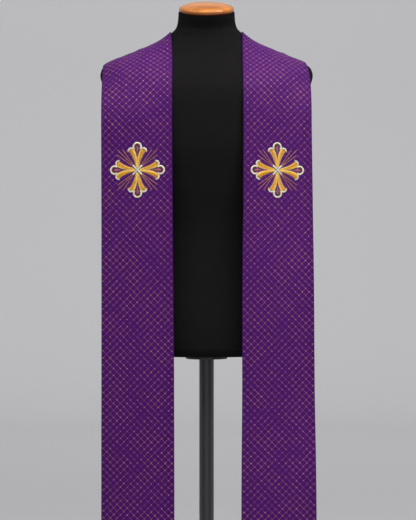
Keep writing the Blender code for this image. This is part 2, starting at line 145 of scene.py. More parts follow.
BANDS = {
    "left": Band(-1.0, Ridge(0.0774, 0.2267), LEFT_SECTIONS, LEFT_SWELLS),
    "right": Band(1.0, Ridge(0.0763, 0.2156), RIGHT_SECTIONS, RIGHT_SWELLS),
}

# ---- Embroidered cross, in its own plane, arms along u (across) and v (up) ----

CROSS_HEIGHT = 1.203    # its centre on the band
CROSS_INSET = 0.0018    # how far its centre stands neckwards of the band's middle
CROSS_REACH = 0.0598    # from the centre to the end of an arm
STITCH_COLUMNS = 10     # points across a row of stitches, an even number
STITCH_ROWS = 4         # rows of points to a stitch
STITCH_RELIEF = 0.00022 # how far one stitch stands above the groove beside it
RAGGED_EDGE = 0.00012   # how far a stitch may end short or long
RAGGED_TONE = 0.10      # how much paler or darker the same stitch then is
NARROWEST = 0.0003      # half width of a strip below which its edges are less ragged
ROUNDED_END = 1.2       # length of a strip's rounded end, as a share of its padding
END_RELIEF = 0.3        # share of a stitch's relief that is left at a strip's end
PETAL_PAD = 0.0010      # padding under each kind of stitching, to the middle of the strip
LOBE_PAD = 0.0014
LOOP_PAD = 0.0015
DROP_PAD = 0.0007
LINE_PAD = 0.0005
RING_PAD = 0.0009
SALTIRE_PAD = 0.0013
RAY_PAD = 0.0004
PAINTED_SHADOW_PAD = 0.00015
CORD_WIDTH = 0.0033
LOOP_RADIUS = 0.0100    # outer radius of the loop at the end of an arm
LOOP_CENTRE = (0.0, CROSS_REACH - LOOP_RADIUS)
LOOP_POINTS = 29
LOBE_RADIUS = 0.0082    # outer radius of the two side lobes
LOBE_CENTRE = (0.0132, 0.0400)
LOBE_POINTS = 14
RING_INSET = 0.0004     # the brown-gold ring's middle inside the loop's cord
RING_HALF_WIDTH = 0.00060
RING_POINTS = 27
LINE_ENDS = (0.0052, 0.0290)
LINE_HALF_WIDTH = 0.00075
LINE_BASE = 0.0004      # how far the pale line stands above the cloth
LINE_POINTS = 9
SALTIRE_HALF_LENGTH = 0.0138
SALTIRE_HALF_WIDTH = 0.0019
SALTIRE_BASE = 0.0006   # how far its bars stand above the cloth, over the petals' roots
SALTIRE_OVERLAP = 0.0004  # how much fuller the upper bar is
RAY_START = 0.0145
RAY_HALF_WIDTH = 0.00044
RAY_PITCH = 0.0016
RAY_RELIEF = 0.0003
RAY_POINTS = 7
RAY_ENDS = ((0.0315, 0.0434), (0.0436, 0.0434), (0.0430, 0.0318))  # in one quarter
PAINTED_SHADOW_PITCH = 0.0010
PAINTED_SHADOW_RELIEF = 0.00012
SIDES = np.array(((1.0, 1.0), (-1.0, 1.0)))  # as drawn, and mirrored in the arm's middle line

# The two edges of one petal, paired from the root to the rounded end.
PetalStation = namedtuple("PetalStation", "inner_u inner_v outer_u outer_v")
PETAL = table(
    PetalStation,
    (0.0004, 0.0036, 0.0014, 0.0040),
    (0.0006, 0.0086, 0.0037, 0.0080),
    (0.0007, 0.0160, 0.0060, 0.0156),
    (0.0008, 0.0230, 0.0086, 0.0228),
    (0.0011, 0.0285, 0.0114, 0.0292),
    (0.0021, 0.0335, 0.0141, 0.0340),
    (0.0038, 0.0382, 0.0171, 0.0378),
    (0.0059, 0.0424, 0.0198, 0.0410),
    (0.0086, 0.0446, 0.0190, 0.0427),
    (0.0115, 0.0453, 0.0169, 0.0442),
    (0.0130, 0.0453, 0.0152, 0.0450),
)
# Half width of what is symmetrical about an arm's middle line, from the centre outwards.
HalfWidth = namedtuple("HalfWidth", "distance half_width")
DROP = table(
    HalfWidth,
    (0.0270, 0.0002), (0.0340, 0.0005), (0.0380, 0.0011), (0.0420, 0.0021),
    (0.0455, 0.0027), (0.0485, 0.0027), (0.0503, 0.0019), (0.0512, 0.0006),
)
# Purple stitching under each arm and past its edges, a painted shadow of the motif on the cloth.
PAINTED_SHADOW = table(
    HalfWidth,
    (0.0000, 0.0022), (0.0085, 0.0064), (0.0188, 0.0098), (0.0290, 0.0144), (0.0345, 0.0178),
    (0.0370, 0.0204), (0.0392, 0.0222), (0.0420, 0.0224), (0.0455, 0.0206), (0.0485, 0.0150),
    (0.0500, 0.0118), (0.0540, 0.0104), (0.0580, 0.0074), (0.0604, 0.0036), (0.0610, 0.0010),
)

# Each kind of stitching in a cross: its thread, its slot, its random seed, to which an arm and a
# band add their own, and the nodes that it stands for.
ARMS = ("top", "right", "bottom", "left")
ARM_SEEDS = 100
BAND_SEEDS = 1000
Stitching = namedtuple("Stitching", "thread slot seed nodes")
CROSS_STITCHING = {
    "petals": Stitching("gold", "gold_stitch", 0, [f"petals_{arm}" for arm in ARMS]),
    "cords": Stitching("pale", "pale_cord", 10, [f"cord_{arm}" for arm in ARMS]),
    "drops": Stitching("rose", "gold_stitch", 20, []),
    "lines": Stitching("gold", "gold_stitch", 30, []),
    # A painted shadow of the motif: purple stitching round each arm.
    "painted_shadow": Stitching("painted shadow purple", "purple_brocade", 40, []),
    "saltire": Stitching("pale", "pale_cord", 50, ["saltire"]),
    "rays": Stitching("copper", "gold_stitch", 60, []),
}

# ---- Dress form and stand ----

BodyRing = namedtuple(
    "BodyRing", "height half_width half_depth centre_y squareness tilt", defaults=(0.0,))
BODY_RINGS = table(
    BodyRing,
    (0.8000, 0.1560, 0.0990, 0.0120, 2.30),
    (0.8060, 0.1640, 0.1060, 0.0120, 2.30),
    (0.8200, 0.1700, 0.1110, 0.0120, 2.30),
    (0.8700, 0.1740, 0.1130, 0.0120, 2.30),
    (0.9600, 0.1640, 0.1060, 0.0100, 2.25),
    (1.0800, 0.1480, 0.0980, 0.0060, 2.20),
    (1.1800, 0.1610, 0.1100, 0.0020, 2.30),
    (1.2700, 0.1780, 0.1210, 0.0000, 2.40),
    (1.3450, 0.2030, 0.1200, 0.0015, 2.40),
    (1.3750, 0.2190, 0.1180, 0.0040, 2.40),
    (1.4000, 0.2310, 0.1130, 0.0100, 2.36),
    (1.4180, 0.2350, 0.1060, 0.0170, 2.28),
    (1.4300, 0.2327, 0.1000, 0.0220, 2.20),
    (1.4407, 0.2240, 0.0940, 0.0260, 2.14),
    (1.4606, 0.1781, 0.0840, 0.0300, 2.08),
    (1.4805, 0.1302, 0.0760, 0.0310, 2.05),
    (1.4938, 0.1035, 0.0715, 0.0300, 2.05),
    (1.5124, 0.0784, 0.0660, 0.0250, 2.05),
    (1.5240, 0.0673, 0.0625, 0.0190, 2.05, 4.0),
    (1.5380, 0.0633, 0.0604, 0.0115, 2.05, 9.0),
    (1.5568, 0.0618, 0.0596, 0.0040, 2.05, 15.9),
)
NECK = BODY_RINGS[-1]
NECK_TILT = math.radians(NECK.tilt)
BODY_SEGMENTS = 144
BODY_SPANS = ((0.800, 0.830, 12), (0.830, 1.340, 70), (1.340, NECK.height, 110))
SHOULDER_SPAN = (1.4180, 1.5240, 20001)  # heights where the shoulder line is read

CAP_PROFILE = (
    (0.0000, 0.0000), (0.0568, 0.0000), (0.0594, 0.0012), (0.0606, 0.0044), (0.0608, 0.0071),
    (0.0600, 0.0097), (0.0578, 0.0118), (0.0532, 0.0141), (0.0450, 0.0168), (0.0338, 0.0190),
    (0.0184, 0.0204), (0.0000, 0.0209),
)
CAP_STEPS = 64
TURNED_SEGMENTS = 128
POLE_SEGMENTS = 64
TURNED_SHARP = 40.0     # degrees past which an edge stays sharp, for each kind of piece
BODY_SHARP = 50.0
CLOTH_SHARP = 70.0
STITCH_SHARP = 75.0
# The pole and its flange stand a gap off the socket's floor and the body.
POLE_PROFILE = (
    (0.0, 0.0103), (0.016, 0.0103), (0.016, 0.7887), (0.017, 0.7917), (0.020, 0.7927),
    (0.045, 0.7927), (0.046, 0.7937), (0.046, 0.7987), (0.045, 0.7997), (0.0, 0.7997),
)
BASE_FOOT = ((0.0, 0.0), (0.199, 0.0), (0.200, 0.001))
RIM_CENTRE = (0.196, 0.005)  # the rim's upper edge is a quarter of an oval about this point
RIM_ROUND = (0.004, 0.003)
RIM_POINTS = 6
BASE_TOP = (
    (0.110, 0.012), (0.039, 0.015), (0.034, 0.0175), (0.031, 0.022), (0.029, 0.030),
    (0.029, 0.055), (0.028, 0.057), (0.026, 0.058), (0.0163, 0.058), (0.0163, 0.010), (0.0, 0.010),
)

# ---- Studio ----

FLOOR_RADIUS = 7.0
COVE_RADIUS = 2.5       # of the curve from the floor up into the wall
WALL_HEIGHT = 5.0
COVE_STEPS = 24
STUDIO_SEGMENTS = 96
FORM_MIDDLE = (0.0, 0.0, 1.15)
Lamp = namedtuple("Lamp", "setting share size place")
LAMPS = {
    "key": Lamp("key_power", 1.0, (4.4, 1.5), (0.8, -1.7, 4.3)),
    "front": Lamp("front_power", 1.0, (2.6, 1.6), (0.8, -5.4, 2.4)),
    "side_left": Lamp("fill_power", 1.0, (1.8, 1.8), (-2.9, -1.9, 3.7)),
    "side_right": Lamp("fill_power", 1.08, (1.8, 1.8), (2.9, -1.9, 3.7)),
}
BACKDROP_SIZE = (3.0, 3.0)
BACKDROP_LAMP = (4.6, 4.6)    # from the pole and above the floor
BACKDROP_TARGET = (9.5, 2.0)


# ---- Curves and surfaces ----


def monotone(xs, ys, at):
    """Cubic pieces through (xs, ys) that never overshoot: each inner slope is the harmonic mean
    of its neighbours' slopes, or 0 where they differ in sign."""
    step = np.diff(xs)
    slope = np.diff(ys) / step
    tangent = np.zeros_like(ys)
    same_way = slope[:-1] * slope[1:] > 0.0
    mean = 2.0 * slope[:-1] * slope[1:] / np.where(same_way, slope[:-1] + slope[1:], 1.0)
    tangent[1:-1] = np.where(same_way, mean, 0.0)
    tangent[0], tangent[-1] = slope[0], slope[-1]
    at = np.clip(at, xs[0], xs[-1])
    k = np.clip(np.searchsorted(xs, at, side="right") - 1, 0, len(step) - 1)
    s = (at - xs[k]) / step[k]
    rise = ys[k + 1] - ys[k]
    bend = s * (1.0 - s) * (
        (tangent[k] * step[k] - rise) * (1.0 - s) - (tangent[k + 1] * step[k] - rise) * s
    )
    return ys[k] + rise * s + bend


def row_at(rows, height):
    """A table's row at other heights, every field read as cubic pieces."""
    heights, *columns = np.array(rows).T
    return type(rows[0])(height, *(monotone(heights, column, height) for column in columns))


def lengths_along(points):
    """Distance of each point from the first one, along the first axis of an array of points."""
    steps = np.linalg.norm(np.diff(points, axis=0), axis=-1)
    return np.concatenate((np.zeros((1, *steps.shape[1:])), np.cumsum(steps, axis=0)))


def smooth_path(points, length, at):
    """Points at other distances on the smooth curve through points that lie at length."""
    return np.stack([monotone(length, column, at) for column in points.T], axis=-1)


def bell(x, middle, width):
    """exp(-((x - middle) / width)^2): 1 in the middle, falling off to both sides."""
    return np.exp(-(((x - middle) / width) ** 2))


def body_depth(x, height):
    """Half depth b (1 - |x/a|^n)^(1/n) of the body's oval at x and height, and its centre_y."""
    ring = row_at(BODY_RINGS, height)
    inside = np.clip(1.0 - np.abs(x / ring.half_width) ** ring.squareness, 0.0, None)
    return ring.half_depth * inside ** (1.0 / ring.squareness), ring.centre_y


def body_front(x, height):
    """How far the body stands in front of the axis."""
    depth, centre_y = body_depth(x, height)
    return depth - centre_y


def shoulder_height(x):
    """Height of the form's shoulder line at distance x from the centre plane."""
    heights = np.linspace(*SHOULDER_SPAN)
    return np.interp(-x, -row_at(BODY_RINGS, heights).half_width, heights)


def eased_ramp(distance, reach):
    """0 below -reach and distance above +reach, with a parabola between them."""
    eased = np.clip(distance + reach, 0.0, None) ** 2 / (4.0 * reach)
    return np.where(distance > reach, distance, eased)


def between_edges(height, across, sections):
    """x on the band at a height and a share of the way across it."""
    section = row_at(sections, height)
    return section.inner_x + (section.outer_x - section.inner_x) * across


def climb_path(rise, across, ridge_x, ridge_height, sections):
    """x and height from the chest, at rise 0, up to the shoulder line, at rise 1: the height
    eases out as 1 - (1 - rise)^2, and x moves over to the ridge's x as 1 - (1 - rise^3)^2."""
    height = CHEST_HEIGHT + (ridge_height - CHEST_HEIGHT) * (1.0 - (1.0 - rise) ** 2)
    x = between_edges(height, across, sections)
    return x + (ridge_x - x) * (1.0 - (1.0 - rise ** 3) ** 2), height


def front_depth(x, height, across, ridge_x, ridge_height, sections):
    """How far the cloth's inner side stands in front of the axis: the body's own depth from the
    shoulder line down to a tangent, then depth = plumb - fall * ramp(height - bend)."""
    section = row_at(sections, height)
    turned_back = np.sqrt(section.width ** 2 - (section.outer_x - section.inner_x) ** 2)
    plumb = section.inner_depth - turned_back * across + CROWN * 4.0 * across * (1.0 - across)

    rise = np.linspace(TANGENT_FROM, 1.0, TANGENT_SAMPLES)[:, None]
    trial_x, trial = climb_path(rise, across, ridge_x, ridge_height, sections)
    above = eased_ramp(trial - CHEST_BEND_HEIGHT, CHEST_BEND_REACH)
    fall = (plumb[-1] - body_front(trial_x, trial)) / above
    tangent = np.argmin(fall, axis=0), np.arange(len(across))
    free = plumb - fall[tangent] * eased_ramp(height - CHEST_BEND_HEIGHT, CHEST_BEND_REACH)
    return np.where(height > trial[tangent], body_front(x, height), free)


def resting_surface(band, across, hang_heights):
    """The line of the band's inner side as points [row, column, xyz]: up from the hem over
    hang_heights, over the shoulder and down the back to the seam."""
    ridge, sections = band.ridge, band.sections
    ridge_x = ridge.inner_x + (ridge.outer_x - ridge.inner_x) * across
    ridge_height = shoulder_height(ridge_x)

    hang = hang_heights[:, None] + 0.0 * across
    rise = np.linspace(0.0, 1.0, SHOULDER_ROWS + 1)[1:, None]
    climb_x, climb = climb_path(rise, across, ridge_x, ridge_height, sections)
    height = np.concatenate((hang, climb))
    x = np.concatenate((between_edges(hang, across, sections), climb_x))
    y = -front_depth(x, height, across, ridge_x, ridge_height, sections)
    front = np.stack((band.side * x, y, height), axis=-1)

    run = np.linspace(0.0, 1.0, BACK_ROWS + 1)[1:, None] ** 2
    seam_height = SEAM_TOP + (SEAM_BOTTOM - SEAM_TOP) * across
    back_x = ridge_x + (0.5 * GAP - ridge_x) * run
    back_height = ridge_height + (seam_height - ridge_height) * run
    depth, centre_y = body_depth(back_x, back_height)
    back = np.stack((band.side * back_x, depth + centre_y, back_height), axis=-1)
    return np.concatenate((front, back))


def grid_normals(grid, side):
    """Unit vectors out of the grid, away from the form: the cross product of its two slopes."""
    normal = side * np.cross(np.gradient(grid, axis=1), np.gradient(grid, axis=0))
    return normal / np.linalg.norm(normal, axis=-1, keepdims=True)


def swell_lift(lengths, across, swells):
    """Sum of lift * exp(-(da/half_width)^2 - (ds/half_length)^2) over the swells, with ds moved
    along by slant * da so that a swell can lie across the cloth at an angle."""
    lift = np.zeros(lengths.shape)
    for swell in swells:
        beside = (across - swell.across) / swell.half_width
        ahead = (lengths - swell.along - SLANT_REACH * swell.slant * beside) / swell.half_length
        lift += swell.lift * np.exp(-beside ** 2 - ahead ** 2)
    return lift


Drape = namedtuple("Drape", "side across mid normals lengths widths")


def draped(band, wall):
    """The band's middle layer: points, normals, and metres along and across the flat cloth."""
    radius = 0.5 * wall
    inset = radius * (1.0 - np.cos(EDGE_TURN))
    rolled = inset / band.sections[-1].width
    face = np.linspace(rolled[-1], 1.0 - rolled[-1], FACE_COLUMNS + 1)
    across = np.concatenate((rolled[:-1], face, 1.0 - rolled[-2::-1]))
    hem = HEM_HEIGHT + inset
    heights = np.concatenate((hem[:-1], np.linspace(hem[-1], CHEST_HEIGHT, HANG_ROWS + 1)))
    rest = resting_surface(band, across, heights)
    lift = REST_CLEARANCE + radius + swell_lift(lengths_along(rest), across, band.swells)
    mid = rest + grid_normals(rest, band.side) * lift[..., None]
    mid[-1, :, 0] = rest[-1, :, 0]
    widths = row_at(band.sections, rest[..., 2]).width
    return Drape(band.side, across, mid, grid_normals(mid, band.side), lengths_along(mid), widths)


# ---- Meshes ----


def grid_quads(rows, columns, wrap=False):
    """Quads between neighbouring points of a grid; with wrap, the last column meets the first."""
    r = np.arange(rows - 1)[:, None] * columns
    c = np.arange(columns if wrap else columns - 1)
    beside = (c + 1) % columns
    corners = (r + c, r + beside, r + columns + beside, r + columns + c)
    return np.stack(corners, axis=-1).reshape(-1, 4)


def end_quads(first, columns):
    """Quads that close a ring of an even number of points, pairing each with its opposite."""
    c = np.arange(columns // 2 - 1)
    opposite = columns - 1 - c
    return first + np.stack((c, c + 1, opposite - 1, opposite), axis=-1)


def closed_tube(rows, columns):
    """Quads round a tube of rings, and over both its ends."""
    ends = end_quads(0, columns), end_quads((rows - 1) * columns, columns)
    return np.concatenate((grid_quads(rows, columns, wrap=True), *ends))


def add_object(name, data):
    """A new object at the origin, in the scene."""
    obj = bpy.data.objects.new(name, data)
    bpy.context.scene.collection.objects.link(obj)
    return obj


def make_piece(name, points, quads, materials, fields=None, uv=None, slots=None, *, angle):
    """A piece from whole arrays: points, quads, named point fields, a UV map and face slots.
    Doubles are merged, faces turned outwards, and edges sharper than angle kept sharp."""
    mesh = bpy.data.meshes.new(name)
    mesh.from_pydata(points.reshape(-1, 3).tolist(), [], quads.tolist())
    for title, values in (fields or {}).items():
        layer = mesh.attributes.new(title, "FLOAT", "POINT")
        layer.data.foreach_set("value", values.astype(np.float32).ravel())
    if uv is not None:
        corner = np.empty(len(mesh.loops), np.int32)
        mesh.loops.foreach_get("vertex_index", corner)
        layer = mesh.uv_layers.new(name="cloth")
        layer.data.foreach_set("uv", uv.reshape(-1, 2)[corner].astype(np.float32).ravel())
    if slots is not None:
        mesh.polygons.foreach_set("material_index", slots.astype(np.int32))
    bm = bmesh.new()
    bm.from_mesh(mesh)
    bmesh.ops.remove_doubles(bm, verts=bm.verts, dist=2e-7)
    bmesh.ops.dissolve_degenerate(bm, edges=bm.edges, dist=2e-7)
    bmesh.ops.recalc_face_normals(bm, faces=bm.faces)
    bm.to_mesh(mesh)
    bm.free()
    for material in materials:
        mesh.materials.append(material)
    mesh.shade_smooth()
    mesh.set_sharp_from_angle(angle=math.radians(angle))
    return add_object(name, mesh)


def hand_over(piece, slot, *nodes):
    """Parents a piece to the body that it rides and hides the nodes that it stands for; its slot is not
    used.
    """
    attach(piece, ROOT)
    if nodes:
        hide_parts(*nodes)


def once_round(steps):
    """Even angles round a full turn."""
    return np.arange(steps) * math.tau / steps


def revolved(profile, steps):
    """Points and quads of a solid of revolution: each (radius, height) of the profile is
    carried round Z as (r cos a, r sin a, h)."""
    turn = once_round(steps)
    radius, height = np.array(profile).T[:, :, None]
    points = np.stack((radius * np.cos(turn), radius * np.sin(turn), height + 0.0 * turn), axis=-1)
    return points, grid_quads(len(profile), steps, wrap=True)


def rounded_profile(profile, steps):
    """A turned profile drawn again as smooth pieces through its points, by distance along it.
    The points of its flat underside stay where they are."""
    points = np.array(profile)
    length = lengths_along(points)
    at = np.unique(np.concatenate((np.linspace(0.0, length[-1], steps), length[:3])))
    return smooth_path(points, length, at)


# ---- Materials ----

TWILL_PITCH = 0.0007           # from one rib of the ground to the next
FLOAT_PITCH = 0.0011           # from one float of a copper line to the next
PLAIN_STRIP = (0.0030, 0.0046) # from the band's edge, where the lattice begins
CROSSING = (0.0007, 0.0009)    # from a crossing's middle, where its bright thread ends


def srgb(red, green, blue):
    """A colour given as 0 to 255 display values, as Blender's linear values."""
    return tuple(((c / 255.0 + 0.055) / 1.055) ** 2.4 for c in (red, green, blue))


def feed(socket, value):
    """Joins a node's socket to a wire, or sets it to a number or a colour."""
    if isinstance(value, Wire):
        socket.id_data.links.new(value.socket, socket)
    else:
        socket.default_value = (*value, 1.0) if socket.type == "RGBA" else value


class Wire:
    """An output of a new node in a material, and the nodes that can follow it."""

    def __init__(self, tree, kind, inputs=None, output=0, **settings):
        node = tree.nodes.new(kind)
        for setting, value in settings.items():
            setattr(node, setting, value)
        for socket, value in (inputs or {}).items():
            feed(node.inputs[socket], value)
        self.tree, self.socket = tree, node.outputs[output]

    def then(self, operation, other=0.0):
        """A function of this value, and of another where it takes two."""
        return Wire(self.tree, "ShaderNodeMath", {0: self, 1: other}, operation=operation)

    def __add__(self, other):
        return self.then("ADD", other)

    def __sub__(self, other):
        return self.then("SUBTRACT", other)

    def __mul__(self, other):
        return self.then("MULTIPLY", other)

    def step(self, low, high, start=0.0, end=1.0):
        """start below low and end above high, eased between them."""
        inputs = {0: self, 1: low, 2: high, 3: start, 4: end}
        return Wire(self.tree, "ShaderNodeMapRange", inputs, interpolation_type="SMOOTHSTEP")

    def fade(self, low, high, start=1.0):
        """start below low and 0 above high."""
        return self.step(low, high, start, 0.0)

    def part(self, axis):
        """One number of a place: 0 for x, 1 for y and 2 for z."""
        return Wire(self.tree, "ShaderNodeSeparateXYZ", {0: self}, axis)

    def scaled(self, x, y, z):
        """The place with each of its numbers multiplied."""
        return Wire(self.tree, "ShaderNodeMapping", {0: self, 3: (x, y, z)})

    def noise(self, scale, detail=2.0, roughness=0.5):
        """Soft noise from 0 to 1 over the place."""
        inputs = {"Vector": self, "Scale": scale, "Detail": detail, "Roughness": roughness}
        return Wire(self.tree, "ShaderNodeTexNoise", inputs)

    def blend(self, first, second):
        """The first colour where this value is 0, and the second where it is 1."""
        return Wire(self.tree, "ShaderNodeMix", {0: self, 6: first, 7: second}, 2, data_type="RGBA")


def vector(x, y, z=0.0):
    """A place put together from its numbers."""
    return Wire(x.tree, "ShaderNodeCombineXYZ", {0: x, 1: y, 2: z})


def point_field(tree, name):
    """One of the piece's own fields, given point by point."""
    return Wire(tree, "ShaderNodeAttribute", output="Fac", attribute_name=name)


def flat_cloth(tree):
    """The flat cloth's own metres, across and along."""
    return Wire(tree, "ShaderNodeUVMap", uv_map="cloth")


def object_place(tree):
    """The place on the piece, in metres."""
    return Wire(tree, "ShaderNodeTexCoord", output="Object")


def new_finish(name):
    """A new material and its node tree."""
    material = bpy.data.materials.new(name)
    material.use_nodes = True
    return material, material.node_tree


def finished(material, bump=None, **sockets):
    """The material with its shader's sockets, named in small letters, fed with their values or
    wires, and a bump from a height, its distance and its strength."""
    tree = material.node_tree
    if bump:
        inputs = dict(zip(("Height", "Distance", "Strength"), bump))
        sockets["normal"] = Wire(tree, "ShaderNodeBump", inputs)
    for name, value in sockets.items():
        name = name.replace("_", " ").title().replace("Ior", "IOR")
        feed(tree.nodes["Principled BSDF"].inputs[name], value)
    return material


def woven_ground(flat):
    """Fine twill: slanting ribs sin(2 pi (u + v/2) / pitch), broken up by a little noise."""
    ribs = ((flat.part(1) * 0.5 + flat.part(0)) * (math.tau / TWILL_PITCH)).then("SINE")
    return ribs * flat.noise(1100.0, detail=1.0).step(0.30, 0.65, start=0.25)


def lattice_line(across_lines, along_lines, seed, cloth):
    """One family of the lattice's lines: the distance to the nearest, its thread as 1 on the
    line, and the same thread fading in patches, on single lines and between its floats."""
    distance = across_lines.then("PINGPONG", 0.5) * cloth.lattice_spacing
    patch = vector(across_lines * 0.22, along_lines * 0.30, seed).noise(1.0)
    single = vector(across_lines.then("ROUND") * 3.37, along_lines * 0.6, seed)
    floats = (along_lines * (cloth.lattice_spacing / FLOAT_PITCH)).then("PINGPONG", 0.5)
    strength = (
        patch.step(0.36, 0.62, 0.18, 0.95)
        * single.noise(1.0, detail=1.0).step(0.30, 0.62, start=0.45)
        * floats.step(0.02, 0.16, start=0.35)
    )
    thread = distance.fade(0.375 * cloth.line_width, 0.625 * cloth.line_width)
    return distance, thread, thread * strength


def brocade_finish(cloth):
    """Purple brocade: twill ground, a copper lattice at 45 degrees with bright crossings, a plain
    strip along each edge, and painted shade darkening the ground within 30 mm of each edge.
    Reads the flat cloth's own metres from the UV map."""
    material, tree = new_finish("purple brocade")
    flat, edge = flat_cloth(tree), point_field(tree, "edge")
    u, v = flat.part(0), flat.part(1)
    turn = 1.0 / (math.sqrt(2.0) * cloth.lattice_spacing)
    a, b = (u + v) * turn, (u - v) * turn
    distance_a, thread_a, line_a = lattice_line(a, b, 0.3, cloth)
    distance_b, thread_b, line_b = lattice_line(b, a, 7.9, cloth)
    inside = edge.step(*PLAIN_STRIP) * (point_field(tree, "worked") * -0.75 + 1.0)
    lines = line_a.then("MAXIMUM", line_b) * inside
    crossing = (
        distance_a.then("MAXIMUM", distance_b).fade(*CROSSING)
        * flat.noise(1900.0, detail=1.0).step(0.35, 0.60, start=0.55)
        * vector(a.then("ROUND"), b.then("ROUND")).noise(0.83).step(0.35, 0.62, start=0.15)
        * inside
    )
    dots = edge.step(0.0016, 0.0024) * edge.fade(0.0030, 0.0040)
    dots = thread_a.then("MAXIMUM", thread_b) * dots
    # The plain woven strip within 3 mm of each edge, and painted shade fading out 30 mm from each edge.
    edge_strip_and_shade = edge.fade(0.0014, 0.0030).then("MAXIMUM", edge.fade(0.0, 0.030, start=0.5))
    cell = vector(a.then("FLOOR"), b.then("FLOOR"))
    cell = Wire(tree, "ShaderNodeTexWhiteNoise", {0: cell})
    beside_lines = distance_a.then("MINIMUM", distance_b).fade(0.0003, 0.0030, start=0.30)
    twill = woven_ground(flat)
    thread = lines.then("MAXIMUM", crossing)

    colour = flat.noise(38.0, detail=3.0).blend(cloth.shade, cloth.ground)
    for share, tint in (
        (cell * 0.30, cloth.shade),
        (beside_lines, cloth.lift),
        (twill.step(-0.6, 0.8) * 0.62 - 0.10, cloth.lift),
        (edge_strip_and_shade * 0.70, cloth.shade),
        (lines, cloth.copper),
        (crossing, cloth.bright),
        (dots * 0.80, cloth.copper),
    ):
        colour = share.blend(colour, tint)
    return finished(
        material, (twill * 0.40 + thread * 1.2, 0.00016, 0.8), base_color=colour,
        roughness=thread * -0.16 + 0.58, metallic=thread * 0.35, specular_ior_level=0.06,
    )


def reverse_finish(cloth):
    """The brocade's plain reverse, closely woven in the ground's own purple."""
    material, tree = new_finish("brocade reverse")
    flat = flat_cloth(tree)
    twill = woven_ground(flat)
    colour = flat.noise(30.0, detail=3.0).blend(cloth.shade, cloth.ground)
    colour = (twill.then("ABSOLUTE") * 0.3).blend(colour, cloth.lift)
    return finished(
        material, (twill, 0.00008, 0.6), base_color=colour, roughness=0.50, specular_ior_level=0.12)


def thread_finish(name, dark, middle, light, roughness=0.40):
    """Embroidery thread: three tones picked by the piece's own tone field, with fine fibres and
    painted shade, the darkest tone, in the grooves between stitches."""
    material, tree = new_finish(name)
    place = object_place(tree)
    tone = (place.noise(420.0) - 0.5) * 0.9 + point_field(tree, "tone")
    colour = tone.step(0.5, 1.0).blend(tone.step(0.0, 0.5).blend(dark, middle), light)
    return finished(
        material, (place.noise(2600.0), 0.00010, 0.5),
        # Painted shade: the darkest tone laid into the grooves between stitches.
        base_color=(point_field(tree, "groove") * 0.55).blend(colour, dark), roughness=roughness,
        sheen_weight=0.05, sheen_roughness=0.35, specular_ior_level=0.30,
    )


def jersey_finish(form):
    """Matt black jersey: fine vertical ribs of knitting and a faint nap."""
    material, tree = new_finish("black jersey")
    place = object_place(tree)
    knit = place.scaled(700.0, 700.0, 340.0).noise(1.0)
    nap = place.noise(60.0, detail=4.0)
    return finished(
        material, (knit, 0.00025, 0.6), roughness=0.86, specular_ior_level=0.02,
        base_color=(nap * knit * 1.2).blend(form.jersey, 1.7 * form.jersey),
    )


def wood_finish(form):
    """Varnished wood, cut along the grain: streaks sin(210 y + 160 z + 26 wander) drawn out in
    X, fine dark pores, and painted shade darker towards the lower rim."""
    material, tree = new_finish("varnished wood")
    place = object_place(tree)
    y, z = place.part(1), place.part(2)
    wander = place.scaled(6.0, 38.0, 38.0).noise(1.0, detail=4.0, roughness=0.6)
    streaks = (wander * 26.0 + (y * 210.0 + z * 160.0)).then("SINE")
    cloudy = place.scaled(14.0, 26.0, 26.0).noise(1.0, detail=3.0).step(0.30, 0.75, 0.05, 0.55)
    pores = place.scaled(70.0, 1300.0, 1300.0).noise(1.0)
    above_rim = y * -math.tan(NECK_TILT) + (z - NECK.height)
    colour = (streaks * 0.13 + cloudy).blend(form.wood, form.wood_grain_and_shade)
    # Dark pores, and painted shade darkening the lower rim.
    for stain_and_shade in (pores.step(0.56, 0.74, end=0.40), above_rim.fade(0.0015, 0.0095, start=0.95)):
        colour = stain_and_shade.blend(colour, form.wood_grain_and_shade)
    return finished(
        material, (pores, 0.00003, 0.25), base_color=colour, roughness=0.38, coat_weight=0.75,
        coat_roughness=0.06, specular_ior_level=0.10,
    )


def steel_finish(form):
    """Powder-coated steel: a fine even orange peel, and a little dust that dulls it."""
    material, tree = new_finish("painted steel")
    place = object_place(tree)
    dust = place.noise(24.0, detail=4.0)
    return finished(
        material, (place.noise(1300.0, detail=1.0), 0.00006, 0.5),
        base_color=dust.step(0.45, 0.70, end=0.25).blend(form.steel, 1.5 * form.steel),
        roughness=dust.step(0.35, 0.70, 0.42, 0.48), specular_ior_level=0.5,
    )


def paper_finish(studio):
    """Matt grey studio paper, paler outwards: the floor's colour within 2 m of the stand turns
    into the wall's by 8.5 m."""
    material, tree = new_finish("studio paper")
    flat = object_place(tree).scaled(1.0, 1.0, 0.0)
    distance = Wire(tree, "ShaderNodeVectorMath", {0: flat}, "Value", operation="LENGTH")
    colour = distance.step(2.0, 8.5).blend(studio.floor_colour, studio.wall_colour)
    return finished(material, base_color=colour, roughness=0.95, specular_ior_level=0.1)


# ---- Stitches ----

# Points of one or more pieces of embroidery in the cross's own plane: u, v and lift, with the
# tone of the thread and how deep each point lies in the groove between two stitches.
Stitches = namedtuple("Stitches", "places tone groove quads")


